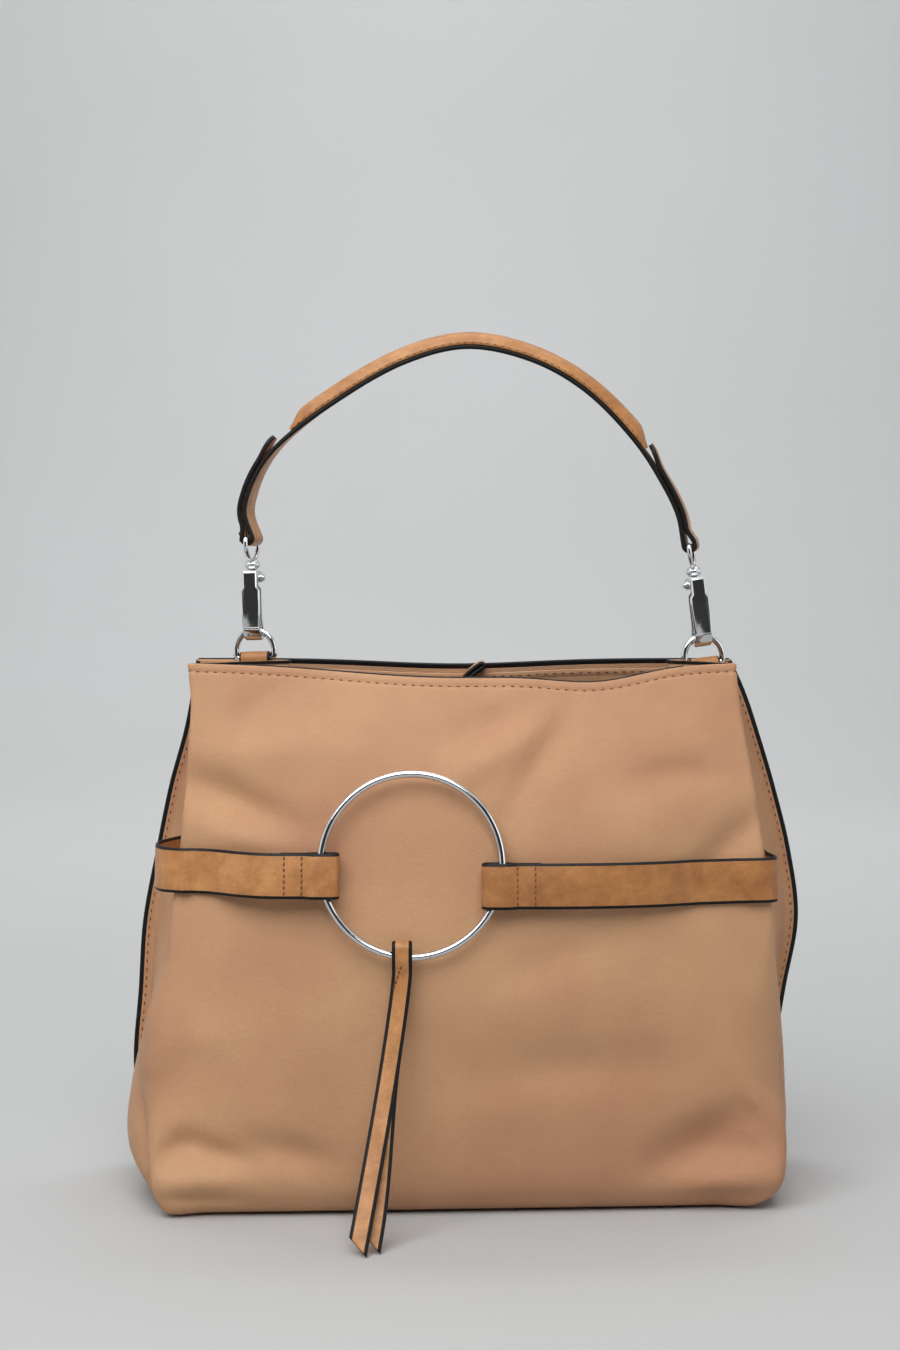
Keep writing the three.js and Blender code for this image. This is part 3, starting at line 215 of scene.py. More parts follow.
def section_at(up):
    v = {name: section_value(name, up) for name in COLUMNS[1:]}
    return dict(
        cornerL=np.array((-v["cornerL"] * HALF_WIDTH, -v["front"] * HALF_DEPTH)),
        cornerR=np.array((v["cornerR"] * HALF_WIDTH, -v["front"] * HALF_DEPTH)),
        creaseL=np.array((-v["creaseL"] * HALF_WIDTH, v["creaseDepthL"] * HALF_DEPTH)),
        creaseR=np.array((v["creaseR"] * HALF_WIDTH, v["creaseDepthR"] * HALF_DEPTH)),
        seamL=np.array((-v["seamL"] * HALF_WIDTH, v["back"] * HALF_DEPTH)),
        seamR=np.array((v["seamR"] * HALF_WIDTH, v["back"] * HALF_DEPTH)),
        belly=v["belly"] * HALF_DEPTH,
        bulge=v["bulge"] * HALF_DEPTH,
        soft=v["soft"],
        twist=math.radians(v["twist"]),
    )


def flange_at(up):
    return FLANGE_WIDTH * lerp(0.35, 1, float(smoothstep(up, 0, 0.1)))


def sag_at(table, x):
    return sum(
        drop * BAG_HEIGHT * np.exp(-(((x / HALF_WIDTH - at) / spread) ** 2)) for at, drop, spread in table
    )


def folds_at(x, z):
    total = np.zeros_like(x)
    for across, up, long, thin, turn, rise in FRONT_FOLDS:
        dx, dz = x - across, z - up
        c, s = math.cos(math.radians(turn)), math.sin(math.radians(turn))
        along = (dx * c + dz * s) / long
        over = (-dx * s + dz * c) / thin
        total += rise * np.exp(-(along**2 + over**2))
    return total


def rounded_line(vertices, radii, counts, round_count):
    """Points of a polyline with rounded corners, with the edge and share of each straight point."""
    n = len(vertices)
    trims = [0.0] * n
    for i in range(1, n - 1):
        shorter = min(
            np.linalg.norm(vertices[i] - vertices[i - 1]), np.linalg.norm(vertices[i] - vertices[i + 1])
        )
        trims[i] = min(radii[i], 0.45 * shorter)
    points, edges, shares = [], [], []
    for i in range(n - 1):
        a, b = vertices[i], vertices[i + 1]
        direction = (b - a) / np.linalg.norm(b - a)
        start, stop = a + direction * trims[i], b - direction * trims[i + 1]
        for k in range(0 if i == 0 else 1, counts[i] + 1):
            share = k / counts[i]
            if i == 0:
                share = share**1.35
            elif i == n - 2:
                share = 1 - (1 - share) ** 1.35
            points.append(lerp(start, stop, share))
            edges.append(i)
            shares.append(share)
        if i < n - 2:
            after = (vertices[i + 2] - b) / np.linalg.norm(vertices[i + 2] - b)
            out = b + after * trims[i + 1]
            for k in range(1, round_count + 1):
                t = k / round_count
                points.append(stop * (1 - t) ** 2 + b * 2 * t * (1 - t) + out * t * t)
                edges.append(-1)
                shares.append(0.0)
    return np.array(points), np.array(edges), np.array(shares)


def belly_shape(share):
    return 1 - np.abs(2 * share - 1) ** 2.6


def turned(points, angle):
    c, s = math.cos(angle), math.sin(angle)
    return np.stack((points[:, 0] * c - points[:, 1] * s, points[:, 0] * s + points[:, 1] * c), axis=1)


FRONT_EDGE = 3
FRONT_COUNTS = (2, 16, 20, 150, 20, 16, 2)
ROUND_COUNT = 6


def front_row(up):
    """One level line of the front piece, from the left seam round the front to the right seam."""
    s = section_at(up)
    flange = np.array((flange_at(up), 0))
    vertices = (
        s["seamL"], s["seamL"] + flange, s["creaseL"], s["cornerL"],
        s["cornerR"], s["creaseR"], s["seamR"] - flange, s["seamR"],
    )
    corner = CORNER_RADIUS * (1 + 1.3 * float(smoothstep(up, 0.1, 0.25) * (1 - smoothstep(up, 0.4, 0.56))))
    radii = (0, 2.5, s["soft"], corner, corner, s["soft"], 2.5, 0)
    flat, edges, shares = rounded_line(vertices, radii, FRONT_COUNTS, ROUND_COUNT)
    forward = np.where(edges == FRONT_EDGE, s["belly"] * belly_shape(shares), 0)
    on_front = smoothstep(-flat[:, 1], 0, abs(s["cornerL"][1]))
    spot = turned(np.stack((flat[:, 0], flat[:, 1] - forward), axis=1), s["twist"])
    settle = float(smoothstep(up, 0.005, 0.05))
    rim = float(smoothstep(up, 0.5, 1))
    z = up * BAG_HEIGHT - sag_at(FRONT_SAG, flat[:, 0]) * rim * on_front
    level = np.full_like(z, up * BAG_HEIGHT)
    fold = folds_at(flat[:, 0], level) * on_front * settle
    return np.stack((spot[:, 0], spot[:, 1] - fold, z), axis=1)


SEAM_STACK = 2 * LEATHER + CLEARANCE
BACK_COUNT = 110
BACK_EDGE = 1.7
LEAN_STEP = 0.01


def stack_at(up):
    """How far back, on a level line, a stack square to the leaning seam reaches."""
    low, high = max(up - LEAN_STEP, 0), min(up + LEAN_STEP, 1)
    lean = (section_at(high)["seamL"][1] - section_at(low)["seamL"][1]) / ((high - low) * BAG_HEIGHT)
    return SEAM_STACK * math.hypot(1, lean)


def back_row(up):
    """One level line of the back panel, from the right seam to the left one."""
    s = section_at(up)
    edge = BACK_EDGE / float(np.linalg.norm(s["seamL"] - s["seamR"]))
    inner = np.linspace(0, 1, BACK_COUNT - 1)[1:-1] * (1 - 4 * edge) + 2 * edge
    share = np.concatenate(([0, edge], inner, [1 - edge, 1]))
    across = s["seamR"][None] + (s["seamL"] - s["seamR"])[None] * share[:, None]
    out = across[:, 1] + stack_at(up) + s["bulge"] * belly_shape(share)
    spot = turned(np.stack((across[:, 0], out), axis=1), s["twist"])
    rim = float(smoothstep(up, 0.5, 1))
    z = up * BAG_HEIGHT - sag_at(BACK_SAG, across[:, 0]) * rim
    return np.stack((spot[:, 0], spot[:, 1], z), axis=1)


def grid_normals(grid):
    """Outward unit normals of a grid of points whose columns cross rows point outwards."""
    along = np.gradient(grid, axis=1)
    up = np.gradient(grid, axis=0)
    normals = np.cross(along, up)
    normals[0, :, 2] = 0
    normals[-1, :, 2] = 0
    return normals / np.maximum(np.linalg.norm(normals, axis=2, keepdims=True), 1e-9)


# Meshes


def new_object(name, points, faces, materials, indices=None):
    mesh = bpy.data.meshes.new(name)
    mesh.from_pydata((np.asarray(points, dtype=float) / 1000).tolist(), [], faces)
    for material in materials:
        mesh.materials.append(material)
    if indices is not None:
        mesh.polygons.foreach_set("material_index", indices)
    mesh.polygons.foreach_set("use_smooth", [True] * len(mesh.polygons))
    mesh.update()
    obj = bpy.data.objects.new(name, mesh)
    bpy.context.collection.objects.link(obj)
    return obj


def sheet_object(
    name, grid, thickness, leather, paint, painted=("left", "right", "top"), inner=None, paint_rows=0,
):
    """A sheet of even thickness behind a grid, with rounded borders.

    Painted borders get the paint, with the first column beside them, and paint_rows rows under the top.
    """
    rows, columns = grid.shape[:2]
    normals = grid_normals(grid)
    back = grid - normals * thickness
    points = np.concatenate((grid.reshape(-1, 3), back.reshape(-1, 3)))
    shift = rows * columns
    i, j = np.meshgrid(np.arange(rows - 1), np.arange(columns - 1), indexing="ij")
    a = (i * columns + j).ravel()
    outer = np.stack((a, a + 1, a + 1 + columns, a + columns), axis=1)
    behind = np.stack((a + shift, a + columns + shift, a + columns + 1 + shift, a + 1 + shift), axis=1)
    faces = outer.tolist() + behind.tolist()
    edged = np.zeros(i.shape, dtype=bool)
    edged[:, 0] = "left" in painted
    edged[:, -1] = "right" in painted
    edged[rows - 1 - paint_rows:] |= "top" in painted
    edged = edged.ravel()
    indices = np.where(edged, 1, 0).tolist() + np.where(edged, 1, 2 if inner else 0).tolist()
    points = [points]
    total = 2 * shift

    def border(ids, outward, reverse, paint_it):
        nonlocal total
        ids = np.asarray(ids)
        front_points = grid.reshape(-1, 3)[ids]
        back_points = back.reshape(-1, 3)[ids]
        middle = (front_points + back_points) / 2
        half = (front_points - back_points) / 2
        loops = [ids]
        for angle in (30, 60, 90, 120, 150):
            c, s = math.cos(math.radians(angle)), math.sin(math.radians(angle))
            points.append(middle + half * c + outward * (thickness / 2) * s)
            loops.append(np.arange(total, total + len(ids)))
            total += len(ids)
        loops.append(ids + shift)
        for low, high in zip(loops[:-1], loops[1:]):
            for k in range(len(ids) - 1):
                quad = [int(low[k]), int(high[k]), int(high[k + 1]), int(low[k + 1])]
                faces.append(quad[::-1] if reverse else quad)
                indices.append(1 if paint_it else 0)

    def unit(v):
        return v / np.maximum(np.linalg.norm(v, axis=1, keepdims=True), 1e-9)

    last = (rows - 1) * columns
    border(np.arange(columns), unit(grid[0] - grid[1]), False, "bottom" in painted)
    border(last + np.arange(columns), unit(grid[-1] - grid[-2]), True, "top" in painted)
    border(np.arange(rows) * columns, unit(grid[:, 0] - grid[:, 1]), True, "left" in painted)
    border(
        np.arange(rows) * columns + columns - 1, unit(grid[:, -1] - grid[:, -2]), False, "right" in painted
    )
    materials = [leather, paint] + ([inner] if inner else [])
    points = np.concatenate(points)
    points[:, 2] = np.maximum(points[:, 2], 0.02)
    return new_object(name, points, faces, materials, indices)


def sweep(name, path, sides, widths, thicks, section, materials, slots, closed=False, slant=None):
    """A strip along a path; section points are shares of width and thickness, and slant skews its ends."""
    path = np.asarray(path, dtype=float)
    n = len(path)
    if closed:
        along = np.roll(path, -1, axis=0) - np.roll(path, 1, axis=0)
    else:
        along = np.gradient(path, axis=0)
    along /= np.maximum(np.linalg.norm(along, axis=1, keepdims=True), 1e-9)
    sides = np.broadcast_to(np.asarray(sides, dtype=float), path.shape)
    across = sides - along * np.sum(sides * along, axis=1, keepdims=True)
    across /= np.linalg.norm(across, axis=1, keepdims=True)
    normal = np.cross(along, across)
    widths = np.broadcast_to(np.asarray(widths, dtype=float), (n,))
    thicks = np.broadcast_to(np.asarray(thicks, dtype=float), (n,))
    skew = along * (widths * (0 if slant is None else slant))[:, None]
    m = len(section)
    points = np.concatenate([
        path + across * (w * widths)[:, None] + normal * (t * thicks)[:, None] + skew * w
        for w, t in section
    ])
    faces, indices = [], []
    stations = n if closed else n - 1
    for j in range(m):
        k = (j + 1) % m
        for i in range(stations):
            i2 = (i + 1) % n
            faces.append((j * n + i, k * n + i, k * n + i2, j * n + i2))
            indices.append(slots[j])
    if not closed:
        faces.append(tuple(j * n for j in range(m))[::-1])
        faces.append(tuple(j * n + n - 1 for j in range(m)))
        indices += [slots[-1], slots[-1]]
    return new_object(name, points, faces, materials, indices)


def strap_section(width, thickness, paint=1.6, crown=0.04):
    """A flat section with rounded, painted edges: paint is how far the paint comes over the faces."""
    e, r = paint / width, 0.35 / width
    points = [
        (-0.5 + e, -0.5), (0.5 - e, -0.5), (0.5 - r, -0.4), (0.5, -0.15), (0.5, 0.15), (0.5 - r, 0.4),
        (0.5 - e, 0.5), (0.2, 0.5 + crown), (-0.2, 0.5 + crown), (-0.5 + e, 0.5), (-0.5 + r, 0.4),
        (-0.5, 0.15), (-0.5, -0.15), (-0.5 + r, -0.4),
    ]
    slots = [0, 1, 1, 1, 1, 1, 0, 0, 0, 1, 1, 1, 1, 1]
    return points, slots


def round_section(sides):
    around = [2 * math.pi * k / sides for k in range(sides)]
    return [(0.5 * math.cos(a), 0.5 * math.sin(a)) for a in around], [0] * sides


def curve_through(points, count):
    """Points on a centripetal Catmull-Rom curve, evenly spaced along its length."""
    p = np.asarray(points, dtype=float)
    p = np.concatenate((2 * p[:1] - p[1:2], p, 2 * p[-1:] - p[-2:-1]))
    dense = []
    for i in range(1, len(p) - 2):
        p0, p1, p2, p3 = p[i - 1], p[i], p[i + 1], p[i + 2]
        d = [max(math.sqrt(np.linalg.norm(b - a)), 1e-4) for a, b in ((p0, p1), (p1, p2), (p2, p3))]
        m1 = ((p1 - p0) / d[0] - (p2 - p0) / (d[0] + d[1]) + (p2 - p1) / d[1]) * d[1]
        m2 = ((p2 - p1) / d[1] - (p3 - p1) / (d[1] + d[2]) + (p3 - p2) / d[2]) * d[1]
        t = np.linspace(0, 1, 24, endpoint=i == len(p) - 3)[:, None]
        dense.append(
            (2 * t**3 - 3 * t**2 + 1) * p1 + (t**3 - 2 * t**2 + t) * m1
            + (-2 * t**3 + 3 * t**2) * p2 + (t**3 - t**2) * m2
        )
    return resample(np.concatenate(dense), count)


def lengths_along(path):
    """The distance along a path to each of its points."""
    return np.concatenate(([0], np.cumsum(np.linalg.norm(np.diff(path, axis=0), axis=1))))


def resample(path, count):
    length = lengths_along(path)
    wanted = np.linspace(0, length[-1], count)
    return np.stack([np.interp(wanted, length, path[:, k]) for k in range(3)], axis=1)


def path_length(path):
    return float(np.sum(np.linalg.norm(np.diff(path, axis=0), axis=1)))


def ellipsoids(name, spots, half, material, rings=5, sides=8):
    """One mesh of small ellipsoids; a spot is (centre, along, normal) and half is (long, wide, high)."""
    ball, quads = [], []
    for i in range(rings + 1):
        polar = math.pi * i / rings
        for j in range(sides):
            around = 2 * math.pi * j / sides
            wide, high = math.sin(polar) * math.cos(around), math.sin(polar) * math.sin(around)
            ball.append((math.cos(polar), wide, high))
    for i in range(rings):
        for j in range(sides):
            k = (j + 1) % sides
            quads.append((i * sides + j, i * sides + k, (i + 1) * sides + k, (i + 1) * sides + j))
    ball = np.array(ball) * np.array(half)
    points, faces = [], []
    for centre, along, normal in spots:
        x = np.asarray(along, dtype=float)
        x = x / np.linalg.norm(x)
        z = np.asarray(normal, dtype=float)
        z = z - x * np.dot(x, z)
        z = z / np.linalg.norm(z)
        y = np.cross(z, x)
        base = len(points) * len(ball)
        points.append(np.asarray(centre) + ball[:, :1] * x + ball[:, 1:2] * y + ball[:, 2:] * z)
        faces += [tuple(v + base for v in quad) for quad in quads]
    return new_object(name, np.concatenate(points), faces, [material])


def rounded(piece, width, angle=32, segments=3):
    """Small bevels on sharp edges, and smooth shading elsewhere."""
    mesh = piece.data
    bm = bmesh.new()
    bm.from_mesh(mesh)
    bmesh.ops.recalc_face_normals(bm, faces=bm.faces)
    bm.to_mesh(mesh)
    bm.free()
    modifier = piece.modifiers.new("edges", "BEVEL")
    modifier.width = width / 1000
    modifier.segments = segments
    modifier.limit_method = "ANGLE"
    modifier.angle_limit = math.radians(angle)
    modifier.harden_normals = False
    mesh.set_sharp_from_angle(angle=math.radians(50))
    return piece


def along_line(points, normals, pitch, start=0.0, lift=0.0):
    """Stitch spots every pitch along a line of points, on their normals."""
    points, normals = np.asarray(points), np.asarray(normals)
    length = lengths_along(points)

    def value(line, where):
        return np.array([np.interp(where, length, line[:, k]) for k in range(3)])

    spots = []
    at = start + pitch / 2
    while at < length[-1] - pitch / 2:
        centre, ahead, normal = value(points, at), value(points, at + 0.5), value(normals, at)
        spots.append((centre + normal * lift, ahead - centre, normal))
        at += pitch
    return spots


# Materials


def linear(r, g, b):
    """A display colour, 0 to 255, as linear light."""
    shares = (r / 255, g / 255, b / 255)
    return tuple(c / 12.92 if c <= 0.04045 else ((c + 0.055) / 1.055) ** 2.4 for c in shares)


class Shader:
    """A node material built step by step."""

    def __init__(self, name):
        self.material = bpy.data.materials.new(name)
        self.material.use_nodes = True
        self.tree = self.material.node_tree
        self.principled = self.tree.nodes["Principled BSDF"]
        self.place = self.add("ShaderNodeTexCoord").outputs["Object"]

    def add(self, kind, **values):
        node = self.tree.nodes.new(kind)
        for key, value in values.items():
            setattr(node, key, value)
        return node

    def link(self, a, b):
        self.tree.links.new(a, b)

    def noise(self, scale, detail=4.0, roughness=0.55, stretch=None):
        node = self.add("ShaderNodeTexNoise")
        node.inputs["Scale"].default_value = scale
        node.inputs["Detail"].default_value = detail
        node.inputs["Roughness"].default_value = roughness
        if stretch:
            mapping = self.add("ShaderNodeMapping")
            mapping.inputs["Scale"].default_value = stretch
            self.link(self.place, mapping.inputs["Vector"])
            self.link(mapping.outputs["Vector"], node.inputs["Vector"])
        else:
            self.link(self.place, node.inputs["Vector"])
        return node.outputs["Fac"]

    def cells(self, scale):
        node = self.add("ShaderNodeTexVoronoi", feature="DISTANCE_TO_EDGE")
        node.inputs["Scale"].default_value = scale
        self.link(self.place, node.inputs["Vector"])
        return node.outputs["Distance"]

    def span(self, value, low, high, to_low=0.0, to_high=1.0):
        node = self.add("ShaderNodeMapRange")
        node.inputs["From Min"].default_value = low
        node.inputs["From Max"].default_value = high
        node.inputs["To Min"].default_value = to_low
        node.inputs["To Max"].default_value = to_high
        self.link(value, node.inputs["Value"])
        return node.outputs["Result"]

    def math(self, operation, a, b):
        node = self.add("ShaderNodeMath", operation=operation)
        for socket, value in zip(node.inputs, (a, b)):
            if isinstance(value, (int, float)):
                socket.default_value = value
            else:
                self.link(value, socket)
        return node.outputs["Value"]

    def mix(self, factor, a, b):
        node = self.add("ShaderNodeMix", data_type="RGBA", blend_type="MIX")
        for socket, value in ((node.inputs["Factor"], factor), (node.inputs[6], a), (node.inputs[7], b)):
            if isinstance(value, (int, float)):
                socket.default_value = value
            elif isinstance(value, tuple):
                socket.default_value = (*value, 1.0)
            else:
                self.link(value, socket)
        return node.outputs[2]

    def bump(self, height, strength, distance, normal=None):
        node = self.add("ShaderNodeBump")
        node.inputs["Strength"].default_value = strength
        node.inputs["Distance"].default_value = distance
        self.link(height, node.inputs["Height"])
        if normal is not None:
            self.link(normal, node.inputs["Normal"])
        return node.outputs["Normal"]

    def set(self, **values):
        for key, value in values.items():
            socket = self.principled.inputs[key.replace("_", " ")]
            if isinstance(value, (int, float)):
                socket.default_value = value
            elif isinstance(value, tuple):
                socket.default_value = (*value, 1.0) if len(value) == 3 else value
            else:
                self.link(value, socket)


def soft_leather(name, light, shade, grain=900.0):
    """Fine-grained soft leather with slow colour drift, small creases and painted shade in the grain's
    crevices.
    """
    s = Shader(name)
    drift = s.span(s.noise(9, 3), 0.35, 0.65)
    speck = s.span(s.noise(420, 3), 0.3, 0.7)
    colour = s.mix(drift, light, shade)
    colour = s.mix(s.math("MULTIPLY", speck, 0.16), colour, shade)
    pore = s.cells(grain)
    pebble = s.span(pore, 0.0, 0.16)
    # Painted shade: the crevices between the grain's pebbles, where the bump sinks, are darkened.
    colour = s.mix(s.span(pore, 0.0, 0.06, 0.22, 0.0), colour, tuple(c * 0.72 for c in shade))
    normal = s.bump(pebble, 0.4, 0.0004)
    normal = s.bump(s.noise(190, 5, 0.65), 0.3, 0.0012, normal)
    normal = s.bump(s.noise(28, 2, 0.5), 0.14, 0.004, normal)
    s.set(Base_Color=colour, Normal=normal, Roughness=s.span(s.noise(60, 4), 0.3, 0.7, 0.5, 0.62))
    s.set(**{"Specular IOR Level": 0.24, "Sheen Weight": 0.03, "Sheen Roughness": 0.5})
    return s.material


def mottled_leather(name, light, middle, dark, grain=650.0):
    """Waxed leather whose colour wanders in pale and dark patches, with fine scratches."""
    s = Shader(name)
    patch = s.span(s.noise(45, 6, 0.62), 0.36, 0.64)
    streak = s.span(s.noise(150, 6, 0.7, stretch=(0.8, 1.0, 1.1)), 0.42, 0.72)
    colour = s.mix(patch, middle, light)
    colour = s.mix(s.math("MULTIPLY", streak, 0.45), colour, dark)
    scratch = s.span(s.noise(420, 3, 0.6, stretch=(1.6, 1.0, 0.35)), 0.6, 0.74)
    colour = s.mix(s.math("MULTIPLY", scratch, 0.3), colour, light)
    pore = s.cells(grain)
    normal = s.bump(s.span(pore, 0.0, 0.2), 0.22, 0.0003)
    normal = s.bump(s.noise(240, 5, 0.6), 0.2, 0.0008, normal)
    s.set(Base_Color=colour, Normal=normal, Roughness=s.span(patch, 0.0, 1.0, 0.46, 0.36))
    s.set(**{"Specular IOR Level": 0.36, "Coat Weight": 0.05, "Coat Roughness": 0.3})
    return s.material


def edge_paint(name):
    s = Shader(name)
    normal = s.bump(s.noise(500, 4), 0.25, 0.0004)
    rough = s.span(s.noise(90, 3), 0.3, 0.7, 0.45, 0.58)
    s.set(Base_Color=linear(9, 9, 10), Normal=normal, Roughness=rough)
    s.set(**{"Specular IOR Level": 0.25})
    return s.material


def thread(name, colour):
    s = Shader(name)
    twist = s.noise(2600, 2, 0.5, stretch=(1.0, 1.0, 0.4))
    s.set(Base_Color=s.mix(s.span(twist, 0.35, 0.65, 0, 0.5), colour, tuple(c * 0.5 for c in colour)))
    s.set(Normal=s.bump(twist, 0.4, 0.0003), Roughness=0.6)
    return s.material


def polished_metal(name, colour, rough=0.07):
    s = Shader(name)
    wear = s.noise(300, 3)
    s.set(Base_Color=colour, Metallic=1.0, Roughness=s.span(wear, 0.4, 0.75, rough, rough + 0.08))
    s.set(Normal=s.bump(s.noise(700, 3, 0.6), 0.03, 0.0002))
    return s.material


BEIGE = soft_leather("beige_soft_leather", linear(205, 160, 120), linear(189, 140, 107))
BEIGE_INSIDE = soft_leather("beige_inside", linear(212, 168, 132), linear(196, 152, 117), 700.0)
TAN = mottled_leather("tan_waxed_leather", linear(201, 144, 90), linear(172, 115, 65), linear(127, 77, 39))
# A darker copy of the tan leather for the right belt: painted shade, as that side lies away from the key
# light.
TAN_SHADED = mottled_leather(
    "tan_waxed_leather_shaded", linear(183, 127, 75), linear(157, 102, 56), linear(116, 70, 34)
)
PAINT = edge_paint("black_edge_paint")
THREAD = thread("brown_thread", linear(112, 66, 40))
CHROME = polished_metal("polished_chrome", (0.63, 0.64, 0.65))
GUNMETAL = polished_metal("dark_joint_line", (0.12, 0.12, 0.13), 0.2)


def settle(piece, body, slot, *nodes):
    """Every piece rides on a body and may stand for CAD nodes; the slot argument is not used."""
    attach(piece, body)
    if nodes:
        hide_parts(*nodes)
    return piece


# Body: front piece, back panel, facings

FRONT_RIM_STITCH = 3.4
BACK_RIM_STITCH = 5.0
FLANGE_STITCH_INSET = 3.4
FLANGE_STITCH_ROW = 6
STITCH_PITCH = 5.15
RIM_GROOVE_DEPTH = 0.75
RIM_GROOVE_HALF = 1.1
BASE_FLOOR = 0.25
body_ups = np.concatenate((
    np.linspace(0, 0.05, 12, endpoint=False),
    np.linspace(0.05, 0.955, 96, endpoint=False),
    np.linspace(0.955, 1, 28),
))


def front_grid(ups, with_relief=True):
    grid = np.array([front_row(up) for up in ups])
    if not with_relief:
        return grid
    normals = grid_normals(grid)
    outward = normals * (1, 1, 0)
    outward /= np.linalg.norm(outward, axis=2, keepdims=True)
    return grid + normals * relief(grid, ups)[:, :, None] - outward * tuck(grid, ups)[:, :, None]


def tuck(grid, ups):
    """How far the foot of the front piece is turned under."""
    level = (ups * BAG_HEIGHT)[:, None]
    on_front = smoothstep(-grid[:, :, 1], 30, 50) * smoothstep(-np.abs(grid[:, :, 0]), -168, -140)
    front = FRONT_TUCK_DEPTH * on_front * np.clip(1 - level / FRONT_TUCK_HEIGHT, 0, 1) ** 2
    return front + TUCK_DEPTH * np.clip(1 - level / TUCK_HEIGHT, 0, 1) ** 2


def relief(grid, ups):
    """How far the front piece stands off its plain shape, along its normals."""
    level = (ups * BAG_HEIGHT)[:, None]
    step = np.linalg.norm(np.diff(grid, axis=1), axis=2)
    length = np.concatenate((np.zeros((len(grid), 1)), np.cumsum(step, axis=1)), axis=1)
    corner = sum(FRONT_COUNTS[:FRONT_EDGE]) + FRONT_EDGE * ROUND_COUNT - ROUND_COUNT // 2
    groove = (BAG_HEIGHT - level - FRONT_RIM_STITCH) / RIM_GROOVE_HALF
    total = -RIM_GROOVE_DEPTH * np.exp(-(groove**2)) * np.ones(grid.shape[:2])
    for side, behind, width, z, height, depth in SIDE_HOLLOWS:
        fold = length[:, corner] if side < 0 else length[:, -1 - corner]
        distance = -side * (fold[:, None] - length)
        total -= depth * np.exp(-(((distance - behind) / width) ** 2) - ((level - z) / height) ** 2)
    return total


front_points = front_grid(body_ups)
front_body = sheet_object(
    "front_body_leather", front_points, LEATHER, BEIGE, PAINT, ("left", "right"), BEIGE_INSIDE
)
settle(front_body, "bag", "beige_leather", "front_body")

back_points = np.array([back_row(up) for up in body_ups])
back_depth = (1 - body_ups)[:, None] * BAG_HEIGHT
back_points[:, :, 1] -= 0.45 * np.exp(-(((back_depth - BACK_RIM_STITCH) / 0.9) ** 2))
back_points[:, :, 2] += FACING_PROUD * smoothstep(body_ups, 0.985, 1)[:, None]
back_panel = sheet_object(
    "back_panel_leather", back_points, LEATHER, BEIGE, PAINT, ("left", "right", "top"), BEIGE_INSIDE, 2
)
settle(back_panel, "bag", "beige_leather", "back_panel")


def base_leather(columns=180, rows=44):
    """The bottom leather, from inside the front piece's foot to inside the back panel's foot."""
    inset = LEATHER + CLEARANCE
    ahead = resample((front_points - grid_normals(front_points) * inset)[0], columns)
    behind = resample((back_points - grid_normals(back_points) * inset)[0][::-1], columns)
    grid = lerp(ahead[None], behind[None], np.linspace(0, 1, rows)[:, None, None])
    arch, span = np.sin(np.linspace(0, math.pi, rows)), np.sin(np.linspace(0, math.pi, columns))
    soft = 0.5 * arch[:, None] * span[None]
    low, high = grid.copy(), grid.copy()
    low[:, :, 2] = BASE_FLOOR + soft
    high[:, :, 2] = BASE_FLOOR + soft + LEATHER
    size = rows * columns
    i, j = np.meshgrid(np.arange(rows - 1), np.arange(columns - 1), indexing="ij")
    a = (i * columns + j).ravel()
    quads = np.stack((a, a + 1, a + 1 + columns, a + columns), axis=1)
    faces = quads[:, ::-1].tolist() + (quads + size).tolist()
    last = size - columns
    rim = [*range(columns), *range(2 * columns - 1, size, columns), *range(size - 2, last - 1, -1)]
    rim += list(range(last - columns, 0, -columns))
    for a, b in zip(rim, rim[1:] + rim[:1]):
        faces.append((a, b, b + size, a + size))
    points = np.concatenate((low.reshape(-1, 3), high.reshape(-1, 3)))
    piece = new_object("base_leather", points, faces, [BEIGE])
    return settle(rounded(piece, 0.5), "bag", "beige_leather", "base_panel")


def facing_object(name, grid, ups, first, last, node, proud):
    inside = grid - grid_normals(grid) * (LEATHER + FACING_GAP)
    rows = ups >= 1 - FACING_HEIGHT / BAG_HEIGHT
    band = inside[rows][:, first:last].copy()
    band[:, :, 2] += proud * smoothstep(ups[rows], 0.985, 1)[:, None]
    piece = sheet_object(name, band, FACING_THICKNESS, BEIGE_INSIDE, PAINT, ("top",), BEIGE_INSIDE, 2)
    return settle(piece, "bag", "beige_leather", node)


base_leather()
plain_front = front_grid(body_ups, with_relief=False)
front_columns = plain_front.shape[1]
facing_start = int(np.argmax((plain_front[-1][:, 1] < -20) & (plain_front[-1][:, 0] > -128)))
facing_object(
    "front_facing_band", plain_front, body_ups, facing_start, front_columns - facing_start, "front_facing",
    FACING_PROUD,
)
facing_object("back_facing_band", back_points, body_ups, 10, BACK_COUNT - 9, "back_facing", 0)


def rim_edge(name, columns):
    """The painted edge of the lining behind the rolled rim, where no facing covers it."""
    normals = grid_normals(plain_front)[-1][columns]
    path = plain_front[-1][columns] - normals * (LEATHER + 0.6) + np.array((0, 0, 0.1))
    section, slots = strap_section(1.1, 1.6, 0.2)
    return settle(
        sweep(name, path, normals, 1.1, 1.6, section, [PAINT, PAINT], slots), "bag", "beige_leather"
    )


rim_edge("left_rim_edge", slice(8, facing_start + 1))
rim_edge("right_rim_edge", slice(front_columns - facing_start - 1, front_columns - 8))


def stitch_set(name, spots, body="bag", slot="tan_leather", half=(1.15, 0.36, 0.3)):
    return settle(ellipsoids(name, spots, half, THREAD), body, slot)


def row_line(grid, ups, depth):
    """The level line that lies a depth under a grid's top edge, and its normals."""
    normals = grid_normals(grid)
    heights = ups * BAG_HEIGHT
    at = BAG_HEIGHT - depth
    i = min(int(np.searchsorted(heights, at)), len(heights) - 1)
    t = (at - heights[i - 1]) / (heights[i] - heights[i - 1])
    return lerp(grid[i - 1], grid[i], t), lerp(normals[i - 1], normals[i], t)


